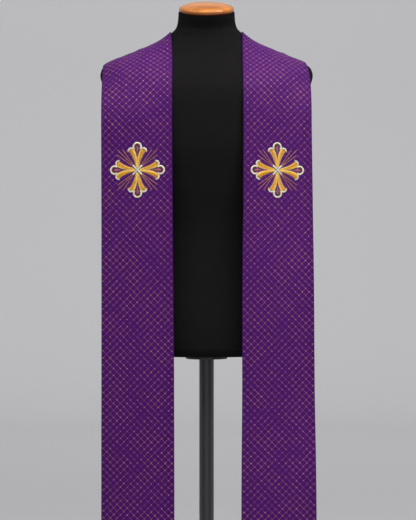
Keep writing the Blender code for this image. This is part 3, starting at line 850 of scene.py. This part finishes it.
def satin(edges, pad, pitch, seed, tone=0.5, relief=STITCH_RELIEF, base=0.0):
    """A strip of satin stitch between two edges: each row of points runs from one edge to the
    other between stations that belong together. Its lift is base + pad sqrt(1 - q^2) + relief
    |sin(pi n t)| (1 - q^4), with q from -1 to 1 across and n stitches along t, and it falls off
    at both ends. The tone is a number or a function of q and t."""
    stations = 0.5 * (lengths_along(edges[0]) + lengths_along(edges[1]))
    length = stations[-1]
    count = max(int(round(length / pitch)), 3)
    t = np.linspace(0.0, 1.0, count * STITCH_ROWS + 1)
    a, b = (smooth_path(edge, stations, t * length) for edge in edges)
    random = np.random.default_rng(seed)
    ragged = np.repeat(random.uniform(-1.0, 1.0, count + 1), STITCH_ROWS)[: len(t)]
    q = np.linspace(-1.0, 1.0, STITCH_COLUMNS)
    middle, half = 0.5 * (a + b), 0.5 * (b - a)
    reach = 1.0 + RAGGED_EDGE * ragged / np.maximum(np.linalg.norm(half, axis=1), NARROWEST)
    places = middle[:, None] + half[:, None] * (q[:, None] * reach[:, None, None])
    end = np.minimum(t, 1.0 - t) * length / max(ROUNDED_END * pad, pitch)
    end = np.sqrt(np.clip(end * (2.0 - np.minimum(end, 1.0)), 0.0, 1.0))[:, None]
    ridge = np.abs(np.sin(math.pi * count * t))[:, None]
    dome = np.sqrt(1.0 - q ** 2)
    relief = relief * ridge * (1.0 - q ** 4) * (END_RELIEF + (1.0 - END_RELIEF) * end)
    lift = base + pad * dome * end + relief
    shade = tone(q, t[:, None]) if callable(tone) else tone
    shade = shade + 0.0 * lift + RAGGED_TONE * ragged[:, None]
    # How deep each point lies in the groove, which the thread's finish paints as shade.
    groove = (1.0 - ridge) ** 2 + 0.0 * q
    points = np.concatenate((places, lift[..., None]), axis=-1).reshape(-1, 3)
    return Stitches(points, shade.ravel(), groove.ravel(), closed_tube(*lift.shape))


def joined(parts):
    """Several pieces of embroidery as one, with the later ones' quads counted on."""
    starts = np.cumsum([0] + [len(part.places) for part in parts[:-1]])
    parts = [part._replace(quads=part.quads + start) for part, start in zip(parts, starts)]
    return Stitches(*(np.concatenate(arrays) for arrays in zip(*parts)))


def turned(places, angle):
    """Points u, v turned anticlockwise: u cos a - v sin a, u sin a + v cos a. A lift stays."""
    u, v, *lift = places.T
    cos, sin = math.cos(angle), math.sin(angle)
    return np.stack((u * cos - v * sin, u * sin + v * cos, *lift), axis=-1)


def ribbon(path, half_width):
    """The two edges of a strip of even or changing half width about a path."""
    along = np.gradient(path, axis=0)
    along = along / np.linalg.norm(along, axis=1, keepdims=True)
    beside = np.stack((-along[:, 1], along[:, 0]), axis=-1) * np.reshape(half_width, (-1, 1))
    return path + beside, path - beside


def arc_path(centre, radius, start, end, points):
    """Points on a circle from start to end degrees."""
    angle = np.radians(np.linspace(start, end, points))
    way = np.stack((np.cos(angle), np.sin(angle)), axis=-1)
    return np.array(centre) + np.reshape(radius, (-1, 1)) * way


def half_wave(start, end, points):
    """sin(pi s) at even shares s from start to end."""
    return np.sin(np.linspace(start, end, points) * math.pi)


def symmetrical(rows):
    """The two edges of what is symmetrical about the arm's middle line."""
    edge = np.array(rows)[:, ::-1]
    return edge * SIDES[1], edge


def petal_pair(seed, pitch):
    """The two gold petals of the upward arm, with a painted highlight along the inner edge and at
    the roots, and painted shade of deep gold in their middles, more so towards the rounded ends."""
    stations = np.array(PETAL)

    def tone(q, t):
        # Painted shade in the petal's middle, and a painted highlight by the inner edge and roots.
        shaded = (0.14 + 0.26 * t) * bell(q, 0.10, 0.50)
        return 0.62 - 0.24 * q - shaded + 0.24 * bell(t, 0.10, 0.12)

    return [
        satin((stations[:, :2] * side, stations[:, 2:] * side), PETAL_PAD, pitch, seed + k, tone)
        for k, side in enumerate(SIDES)
    ]


def cord_parts(seed, pitch):
    """The pale satin cord round the end of the upward arm: two lobes and the loop over them."""
    half = 0.5 * CORD_WIDTH
    shrink = 0.5 * half * (1.0 - np.linspace(0.0, 1.0, LOBE_POINTS) / 0.35).clip(0.0)
    lobe = arc_path(LOBE_CENTRE, LOBE_RADIUS - half + shrink, -14.0, 128.0, LOBE_POINTS)
    thin = half * np.sqrt(half_wave(0.10, 0.90, LOBE_POINTS)).clip(0.55) - shrink
    loop = arc_path(LOOP_CENTRE, LOOP_RADIUS - half, -46.0, 226.0, LOOP_POINTS)
    taper = np.clip(half_wave(0.06, 0.94, LOOP_POINTS) * 2.2, 0.35, 1.0)
    cords = (
        (ribbon(lobe, 1.15 * thin), LOBE_PAD, 0.62),
        (ribbon(lobe * SIDES[1], 1.15 * thin), LOBE_PAD, 0.62),
        (ribbon(loop, half * taper), LOOP_PAD, 0.85),
    )
    return [
        satin(edges, pad, pitch, seed + k, lambda q, t: level + 0.12 * q)
        for k, (edges, pad, level) in enumerate(cords)
    ]


def drop_part(seed, pitch, quarters):
    """The rose drop inside the loop, lighter along its middle, with painted shade darkening it
    on the two upright arms.
    """
    # Painted shade: the drops on the top and bottom arms get a lower tone.
    level = 0.10 if quarters % 2 == 0 else 0.43
    return satin(
        symmetrical(DROP), DROP_PAD, pitch, seed, lambda q, t: level + 0.28 * bell(q, 0.0, 0.45))


def painted_shadow_part(seed):
    """Purple stitching behind the upward arm and past its edges: a painted shadow round the arm."""
    edges = symmetrical(PAINTED_SHADOW)
    return satin(edges, PAINTED_SHADOW_PAD, PAINTED_SHADOW_PITCH, seed, relief=PAINTED_SHADOW_RELIEF)


def fine_lines(seed, pitch):
    """The pale line between the petals and the brown-gold ring inside the loop."""
    line = np.stack((np.zeros(LINE_POINTS), np.linspace(*LINE_ENDS, LINE_POINTS)), axis=-1)
    width = LINE_HALF_WIDTH * half_wave(0.25, 0.95, LINE_POINTS).clip(0.35)
    radius = LOOP_RADIUS - CORD_WIDTH - RING_INSET
    ring = arc_path(LOOP_CENTRE, radius, -62.0, 242.0, RING_POINTS)
    return [
        satin(ribbon(line, width), LINE_PAD, pitch, seed, tone=0.95, base=LINE_BASE),
        satin(ribbon(ring, RING_HALF_WIDTH), RING_PAD, pitch, seed + 1, tone=0.05),
    ]


def saltire_parts(seed, pitch):
    """The small diagonal cross over the middle, silver-grey with cream ends, one bar on top."""
    reach = SALTIRE_HALF_LENGTH * math.sqrt(0.5)
    bars = []
    for k, slope in enumerate((1.0, -1.0)):
        path = np.linspace(-1.0, 1.0, 9)[:, None] * np.array((reach, slope * reach))
        bars.append(satin(
            ribbon(path, SALTIRE_HALF_WIDTH), SALTIRE_PAD + SALTIRE_OVERLAP * k, pitch, seed + k,
            lambda q, t: 0.12 + 0.85 * np.abs(2.0 * t - 1.0) ** 2.5, base=SALTIRE_BASE,
        ))
    return bars


def ray_parts(seed):
    """Three thin rays of twisted thread in each quarter, from the saltire's ends outwards."""
    rays = []
    for quarter in range(4):
        for end in RAY_ENDS:
            start = np.array(end) / np.linalg.norm(end)
            start = (0.80 * start + 0.20 * math.sqrt(0.5)) * RAY_START
            path = turned(np.linspace(start, end, RAY_POINTS), QUARTER_TURN * quarter)
            edges = ribbon(path, RAY_HALF_WIDTH)
            rays.append(satin(edges, RAY_PAD, RAY_PITCH, seed + len(rays), relief=RAY_RELIEF))
    return rays


def cross_parts(band_seed, pitch):
    """All the stitching of one cross by kind: what the upward arm has is made anew for each arm
    and turned clockwise into place, and the middle is stitched over it."""
    seeds = {kind: band_seed + row.seed for kind, row in CROSS_STITCHING.items()}
    parts = {kind: [] for kind in CROSS_STITCHING}
    for quarters in range(4):
        step = ARM_SEEDS * quarters
        arm = {
            "petals": petal_pair(seeds["petals"] + step, pitch),
            "cords": cord_parts(seeds["cords"] + step, pitch),
            "drops": [drop_part(seeds["drops"] + step, pitch, quarters)],
            "lines": fine_lines(seeds["lines"] + step, pitch),
            "painted_shadow": [painted_shadow_part(seeds["painted_shadow"] + step)],
        }
        for kind, made in arm.items():
            parts[kind] += [
                part._replace(places=turned(part.places, -QUARTER_TURN * quarters))
                for part in made
            ]
    parts["saltire"] = saltire_parts(seeds["saltire"], pitch)
    parts["rays"] = ray_parts(seeds["rays"])
    return parts


def laid_on(drape, wall, places):
    """Embroidery points u, v and lift as points on the band's outer face: the grid's points and
    normals are read between its rows and columns, and the point is moved out by the lift."""
    u, v, lift = places.T
    columns = len(drape.across)
    outer = drape.mid + drape.normals * (0.5 * wall)
    hanging = HANG_ROWS + EDGE_STEPS + 1
    heights = outer[:hanging, columns // 2, 2]
    at = CROSS_HEIGHT + v
    row = np.interp(at, heights, np.arange(hanging))
    width = np.interp(at, heights, drape.widths[:hanging, 0])
    across = 0.5 + (drape.side * u - CROSS_INSET) / width
    column = np.interp(across, drape.across, np.arange(columns))
    r = np.minimum(row.astype(int), hanging - 2)
    c = np.minimum(column.astype(int), columns - 2)
    s, t = (row - r)[:, None], (column - c)[:, None]

    def read(grid):
        """The grid between its points, mixed in even shares across and then up."""
        low = grid[r, c] * (1.0 - t) + grid[r, c + 1] * t
        high = grid[r + 1, c] * (1.0 - t) + grid[r + 1, c + 1] * t
        return low * (1.0 - s) + high * s

    normal = read(drape.normals)
    normal = normal / np.linalg.norm(normal, axis=-1, keepdims=True)
    return read(outer) + normal * lift[:, None]


# ---- Settings ----


def number_setting(name, description, default, low=0.0, high=1000.0, **unit):
    """A number that the sidebar shows, with its limits."""
    return bpy.props.FloatProperty(
        name=name, description=description, default=default, min=low, max=high, **unit)


def length_setting(name, description, default, low, high):
    """A length in metres, with its limits."""
    return number_setting(name, description, default, low, high, unit="LENGTH")


def power_setting(name, description, default):
    """A lamp's power in watts."""
    return number_setting(name, description, default, unit="POWER")


def colour_setting(name, description, *values):
    """A colour that the sidebar shows, with its default given as 0 to 255 display values."""
    return bpy.props.FloatVectorProperty(
        name=name, description=description, subtype="COLOR", size=3, min=0.0, max=1.0,
        default=srgb(*values),
    )


class ClothSettings(bpy.types.PropertyGroup):
    """The brocade bands."""

    wall: length_setting("Wall", "Thickness of the made-up cloth", 0.002, 0.0005, 0.006)
    lattice_spacing: length_setting("Lattice spacing", "From one line to the next", 0.0106, 0.002, 0.05)
    line_width: length_setting("Line width", "Width of a woven copper line", 0.0007, 0.0002, 0.005)
    seam_stitch: length_setting("Seam stitch", "From one to the next at the back", 0.0035, 0.001, 0.02)
    ground: colour_setting("Ground", "The brocade's purple", 58, 10, 84)
    shade: colour_setting("Shade", "The darker purple of its ground", 49, 7, 74)
    lift: colour_setting("Lift", "The lighter purple beside the lines", 76, 24, 98)
    copper: colour_setting("Copper", "The lattice's woven lines", 146, 86, 75)
    bright: colour_setting("Bright", "Where two lines cross", 214, 156, 108)


class EmbroiderySettings(bpy.types.PropertyGroup):
    """The crosses."""

    stitch_pitch: length_setting("Stitch pitch", "From one satin stitch to the next", 0.0005, 0.0002, 0.003)
    gold: colour_setting("Gold", "The petals' middle tone", 202, 151, 46)
    # Deep gold also gives the petals' painted shade, and pale gold their painted highlight.
    deep_gold: colour_setting("Deep gold", "The petals' shaded thread", 156, 97, 16)
    pale_gold: colour_setting("Pale gold", "The petals' light thread", 227, 197, 110)
    cream: colour_setting("Cream", "The loops' cord", 219, 212, 176)
    silver: colour_setting("Silver", "The lobes and the saltire's middle", 192, 194, 188)
    copper: colour_setting("Ray copper", "The rays", 182, 124, 64)
    rose: colour_setting("Rose", "The drops in the loops", 148, 82, 80)
    # The colour of the painted shadow round each arm.
    painted_shadow: colour_setting("Underlay", "The painted shadow purple stitching behind", 66, 20, 84)


class FormSettings(bpy.types.PropertyGroup):
    """The dress form and its stand."""

    jersey: colour_setting("Jersey", "The body's knitted cover", 17, 16, 16)
    wood: colour_setting("Wood", "The neck cap", 182, 110, 36)
    # Also the painted shade on the cap's lower rim.
    wood_grain_and_shade: colour_setting("Wood grain", "The cap's streaks and rim", 104, 47, 6)
    steel: colour_setting("Steel", "The pole and base", 44, 44, 46)


class StudioSettings(bpy.types.PropertyGroup):
    """Camera, light, floor and backdrop."""

    camera_distance: length_setting("Camera distance", "In front of the pole", 4.0, 1.0, 20.0)
    camera_height: length_setting("Camera height", "Above the floor, looking level", 1.01, 0.1, 3.0)
    camera_side: length_setting("Camera side", "To the right of the pole", 0.0032, -1.0, 1.0)
    lens: number_setting(
        "Lens", "Focal length on a 36 mm sensor", 125.6, 20.0, 400.0, unit="CAMERA")
    key_power: power_setting("Key light", "The large soft light in front and above", 190.0)
    fill_power: power_setting("Side lights", "Each of the two side lights", 58.0)
    front_power: power_setting("Front light", "The light that lifts the hanging bands", 18.0)
    backdrop_power: power_setting("Backdrop light", "Each of the four lights on the wall", 49.0)
    sky_strength: number_setting("Room light", "Strength of the even light all round", 0.485)
    floor_colour: colour_setting("Floor", "The pale floor", 184, 184, 186)
    wall_colour: colour_setting("Wall", "The pale backdrop", 211, 211, 213)


# ---- Operators ----


class STOLE_OT_make_form(bpy.types.Operator):
    """Make the jersey-covered body and its wooden neck cap"""

    bl_idname = "stole.make_form"
    bl_label = "Dress form"

    def execute(self, context):
        """Each level of the body is an oval, x = a cos^(2/n) and y = b sin^(2/n), tipped by its
        tilt. The cap is turned, then tipped with the neck and moved a gap off it."""
        form = context.scene.stole_form
        rows = np.unique(np.concatenate([np.linspace(*span) for span in BODY_SPANS]))[:, None]
        ring = row_at(BODY_RINGS, rows)
        turn = once_round(BODY_SEGMENTS)
        across, deep = np.cos(turn), np.sin(turn)
        x = ring.half_width * np.sign(across) * np.abs(across) ** (2.0 / ring.squareness)
        y = ring.half_depth * np.sign(deep) * np.abs(deep) ** (2.0 / ring.squareness)
        z = rows + y * np.tan(np.radians(ring.tilt))
        torso = make_piece(
            FORM_PIECE, np.stack((x, y + ring.centre_y, z), axis=-1), closed_tube(*x.shape),
            [jersey_finish(form)], angle=BODY_SHARP,
        )
        hand_over(torso, "black_jersey", "form_torso")

        points, quads = revolved(rounded_profile(CAP_PROFILE, CAP_STEPS), TURNED_SEGMENTS)
        cos, sin = math.cos(NECK_TILT), math.sin(NECK_TILT)
        seat = (0.0, NECK.centre_y - GAP * sin, NECK.height + GAP * cos)
        tipped = points @ np.array(((1.0, 0.0, 0.0), (0.0, cos, sin), (0.0, -sin, cos))) + seat
        cap = make_piece("neck_cap_wood", tipped, quads, [wood_finish(form)], angle=TURNED_SHARP)
        hand_over(cap, "varnished_wood", "form_neck_cap")
        return {"FINISHED"}


class STOLE_OT_make_stand(bpy.types.Operator):
    """Make the steel pole with its flange and the round base with its collar"""

    bl_idname = "stole.make_stand"
    bl_label = "Pole and base"

    def execute(self, context):
        """The base's profile is its foot, a rim (x + a cos t, y + b sin t) and its top."""
        steel = steel_finish(context.scene.stole_form)
        rim = [
            (RIM_CENTRE[0] + RIM_ROUND[0] * math.cos(t), RIM_CENTRE[1] + RIM_ROUND[1] * math.sin(t))
            for t in np.linspace(0.0, QUARTER_TURN, RIM_POINTS)
        ]
        base = (*BASE_FOOT, *rim, *BASE_TOP)
        for name, profile, steps in (
            ("pole", POLE_PROFILE, POLE_SEGMENTS), ("base", base, TURNED_SEGMENTS),
        ):
            surface = revolved(profile, steps)
            piece = make_piece(f"{name}_steel", *surface, [steel], angle=TURNED_SHARP)
            hand_over(piece, "painted_steel", f"form_{name}")
        return {"FINISHED"}


class STOLE_OT_make_crosses(bpy.types.Operator):
    """Make the two embroidered crosses, stitch by stitch, lying on the bands"""

    bl_idname = "stole.make_crosses"
    bl_label = "Embroidered crosses"

    def execute(self, context):
        tones, wall = context.scene.stole_embroidery, context.scene.stole_cloth.wall
        pitch = tones.stitch_pitch
        threads = {
            "gold": (tones.deep_gold, tones.gold, tones.pale_gold),
            "pale": (0.75 * tones.silver, tones.silver, tones.cream, 0.50),
            "copper": (0.6 * tones.copper, tones.copper, 1.25 * tones.copper),
            "rose": (0.6 * tones.rose, tones.rose, 1.3 * tones.rose),
            # Thread of the painted shadow round each arm.
            "painted shadow purple": (0.7 * tones.painted_shadow, tones.painted_shadow, 1.4 * tones.painted_shadow, 0.55),
        }
        finishes = {kind: thread_finish(f"{kind} thread", *threads[kind]) for kind in threads}

        for k, (name, band) in enumerate(BANDS.items(), start=1):
            drape = draped(band, wall)
            parts = cross_parts(BAND_SEEDS * k, pitch)
            for kind, stitching in CROSS_STITCHING.items():
                stitches = joined(parts[kind])
                piece = make_piece(
                    f"{name}_cross_{kind}", laid_on(drape, wall, stitches.places), stitches.quads,
                    [finishes[stitching.thread]],
                    {"tone": stitches.tone, "groove": stitches.groove}, angle=STITCH_SHARP,
                )
                nodes = [f"cross_{name}_{node}" for node in stitching.nodes]
                hand_over(piece, stitching.slot, *nodes)
        return {"FINISHED"}


class STOLE_OT_make_bands(bpy.types.Operator):
    """Make the two brocade bands with their rolled edges and plain reverse"""

    bl_idname = "stole.make_bands"
    bl_label = "Brocade bands"

    def execute(self, context):
        """The wall is a closed ring of points round each row: out over the face at +half the
        wall, round each edge as a half circle, and back along the reverse."""
        cloth = context.scene.stole_cloth
        finishes = [brocade_finish(cloth), reverse_finish(cloth)]
        for name, band in BANDS.items():
            drape = draped(band, cloth.wall)
            rows, columns = drape.mid.shape[:2]
            rolled = np.sin(EDGE_TURN[:-1])
            thickness = np.concatenate((rolled, np.ones(columns - 2 * EDGE_STEPS), rolled[::-1]))
            hem = np.concatenate((rolled, np.ones(rows - EDGE_STEPS)))
            lift = drape.normals * (0.5 * cloth.wall * hem[:, None] * thickness)[..., None]
            face, reverse = drape.mid + lift, drape.mid - lift
            for layer in (face, reverse):
                layer[-1, :, 0] = drape.mid[-1, :, 0]
            ring = np.concatenate((face, reverse[:, -2:0:-1]), axis=1)
            order = np.concatenate((np.arange(columns), np.arange(columns - 2, 0, -1)))
            around = len(order)

            u = (drape.across - 0.5) * drape.widths
            edge = np.minimum(drape.across, 1.0 - drape.across) * drape.widths
            above = drape.lengths + HEM_HEIGHT - CROSS_HEIGHT
            worked = np.exp(-(np.hypot(u + CROSS_INSET, above) / CROSS_REACH) ** 6)
            c = np.arange(1, columns - 1)
            seam = np.stack((c[:-1], c[1:], around - c[1:], around - c[:-1]), axis=-1)
            quads = (grid_quads(rows, around, wrap=True), seam + (rows - 1) * around)
            column = np.tile(np.arange(around), rows - 1)
            behind = (column >= columns + EDGE_STEPS) & (column < around - EDGE_STEPS)
            piece = make_piece(
                f"{name}_band_cloth", ring, np.concatenate(quads), finishes,
                {"edge": edge[:, order], "worked": worked[:, order]},
                uv=np.stack((u, drape.lengths), axis=-1)[:, order],
                slots=np.concatenate((behind, np.zeros(len(seam)))), angle=CLOTH_SHARP,
            )
            hand_over(piece, "purple_brocade", f"stole_{name}_band")
            middle = columns // 2
            float(drape.widths[:, middle].mean() * drape.lengths[-1, middle])
        return {"FINISHED"}


class STOLE_OT_sew_seam(bpy.types.Operator):
    """Sew the two bands together along the mitred seam at the back"""

    bl_idname = "stole.sew_seam"
    bl_label = "Seam stitches"

    def execute(self, context):
        """Each stitch is a thin tube over the seam: along it x goes from -1 to 1 half lengths,
        slanting up the seam, and its middle stands out by 1 - x^2 of its rise."""
        cloth = context.scene.stole_cloth
        drape = draped(BANDS["right"], cloth.wall)
        seam = (drape.mid[-1] + drape.normals[-1] * 0.5 * cloth.wall)[EDGE_STEPS:-EDGE_STEPS, 1:]
        down = lengths_along(seam)
        count = int(down[-1] / cloth.seam_stitch) - 1
        random = np.random.default_rng(SEAM_SEED)
        slip = random.uniform(-SEAM_STITCH_SLIP, SEAM_STITCH_SLIP, count)
        at = (np.arange(count) + 1.0 + slip) * down[-1] / (count + 1)
        size = random.uniform(1.0 - SEAM_STITCH_SLIP, 1.0 + SEAM_STITCH_SLIP, count)
        tone = random.uniform(0.2, 0.8, count)

        t = np.linspace(-1.0, 1.0, SEAM_RINGS)
        turn = once_round(SEAM_SIDES)
        x = SEAM_STITCH_REACH * size[:, None] * t
        along = at[:, None] + SEAM_STITCH_SLANT * SEAM_STITCH_REACH * t
        y = np.interp(along, down, seam[:, 0])
        y = y + SEAM_STITCH_RISE * (1.0 - t ** 2) - SEAM_STITCH_SINK * t ** 2
        z = np.interp(along, down, seam[:, 1])
        radius = SEAM_THREAD * np.sqrt(1.0 - 0.999 * t ** 6)[:, None]
        y = y[..., None] + radius * np.cos(turn)
        z = z[..., None] + radius * np.sin(turn)
        tube = np.stack((x[..., None] + 0.0 * y, y, z), axis=-1)
        points = SEAM_RINGS * SEAM_SIDES
        quads = closed_tube(SEAM_RINGS, SEAM_SIDES) + points * np.arange(count)[:, None, None]
        thread = thread_finish("purple sewing thread", cloth.shade, cloth.ground, cloth.lift, 0.5)
        tone = np.repeat(tone, points)
        piece = make_piece(
            "seam_stitches", tube, quads.reshape(-1, 4), [thread],
            {"tone": tone, "groove": 0.0 * tone}, angle=STITCH_SHARP,
        )
        hand_over(piece, "purple_brocade")
        return {"FINISHED"}


class STOLE_OT_make_stage(bpy.types.Operator):
    """Make the pale floor that sweeps up into a wall, the soft lights and the camera"""

    bl_idname = "stole.make_stage"
    bl_label = "Studio"

    def execute(self, context):
        """The floor is a disc whose rim rises as a quarter circle into a wall all round."""
        scene, studio = context.scene, context.scene.stole_studio
        profile = [(0.0, 0.0)]
        profile += [
            (FLOOR_RADIUS + COVE_RADIUS * math.sin(a), COVE_RADIUS * (1.0 - math.cos(a)))
            for a in np.linspace(0.0, QUARTER_TURN, COVE_STEPS)
        ]
        profile += [(FLOOR_RADIUS + COVE_RADIUS, WALL_HEIGHT)]
        points, quads = revolved(profile, STUDIO_SEGMENTS)
        mesh = bpy.data.meshes.new("studio_sweep")
        mesh.from_pydata(points.reshape(-1, 3).tolist(), [], quads.tolist())
        mesh.materials.append(paper_finish(studio))
        mesh.shade_smooth()
        add_object("studio_sweep", mesh)

        world = bpy.data.worlds.new("studio")
        world.use_nodes = True
        background = world.node_tree.nodes["Background"]
        background.inputs["Color"].default_value = (1.0, 1.0, 1.0, 1.0)
        background.inputs["Strength"].default_value = studio.sky_strength
        scene.world = world

        for name, lamp in LAMPS.items():
            watts = lamp.share * getattr(studio, lamp.setting)
            self.soft_light(name, watts, lamp.size, lamp.place, FORM_MIDDLE)
        for k in range(4):
            x, y = math.sin(QUARTER_TURN * k), math.cos(QUARTER_TURN * k)
            place, target = (
                (out * x, out * y, height) for out, height in (BACKDROP_LAMP, BACKDROP_TARGET))
            self.soft_light(f"backdrop_{k}", studio.backdrop_power, BACKDROP_SIZE, place, target)

        camera = add_object("camera", bpy.data.cameras.new("camera"))
        camera.data.lens = studio.lens
        camera.location = (studio.camera_side, -studio.camera_distance, studio.camera_height)
        camera.rotation_euler = (QUARTER_TURN, 0.0, 0.0)
        scene.camera = camera
        scene.view_settings.view_transform = "Standard"
        return {"FINISHED"}

    def soft_light(self, name, watts, size, place, target):
        """A soft light of a width and a height at a place, facing a target and itself unseen."""
        light = bpy.data.lights.new(name, "AREA")
        light.shape = "RECTANGLE"
        light.energy = watts
        light.size, light.size_y = size
        lamp = add_object(name, light)
        lamp.visible_camera = False
        lamp.location = place
        x, y, z = np.array(target) - np.array(place)
        lamp.rotation_euler = (math.acos(-z / math.hypot(x, y, z)), 0.0, math.atan2(-x, y))


class STOLE_PT_panel(bpy.types.Panel):
    """The stole's settings and makers in the sidebar"""

    bl_idname = "STOLE_PT_panel"
    bl_label = "Stole"
    bl_space_type = "VIEW_3D"
    bl_region_type = "UI"
    bl_category = "Stole"

    def draw(self, context):
        for group, settings in GROUPS.items():
            box = self.layout.box()
            for setting in settings.__annotations__:
                box.prop(getattr(context.scene, group), setting)
        for maker in MAKERS:
            self.layout.operator(maker.bl_idname)


GROUPS = {
    "stole_cloth": ClothSettings,
    "stole_embroidery": EmbroiderySettings,
    "stole_form": FormSettings,
    "stole_studio": StudioSettings,
}
MAKERS = (
    STOLE_OT_make_form,
    STOLE_OT_make_stand,
    STOLE_OT_make_crosses,
    STOLE_OT_make_bands,
    STOLE_OT_sew_seam,
    STOLE_OT_make_stage,
)


def register():
    """Adds the settings, the makers and the panel."""
    for cls in (*GROUPS.values(), *MAKERS, STOLE_PT_panel):
        bpy.utils.register_class(cls)
    for group, settings in GROUPS.items():
        setattr(bpy.types.Scene, group, bpy.props.PointerProperty(type=settings))


def unregister():
    """Takes them away again."""
    for group in GROUPS:
        delattr(bpy.types.Scene, group)
    for cls in (STOLE_PT_panel, *reversed(MAKERS), *reversed(GROUPS.values())):
        bpy.utils.unregister_class(cls)


def main():
    """Makes every piece and the studio."""
    register()
    bpy.ops.stole.make_form()
    bpy.ops.stole.make_stand()
    bpy.ops.stole.make_crosses()
    bpy.ops.stole.make_bands()
    bpy.ops.stole.sew_seam()
    bpy.ops.stole.make_stage()


if __name__ == "__main__":
    main()
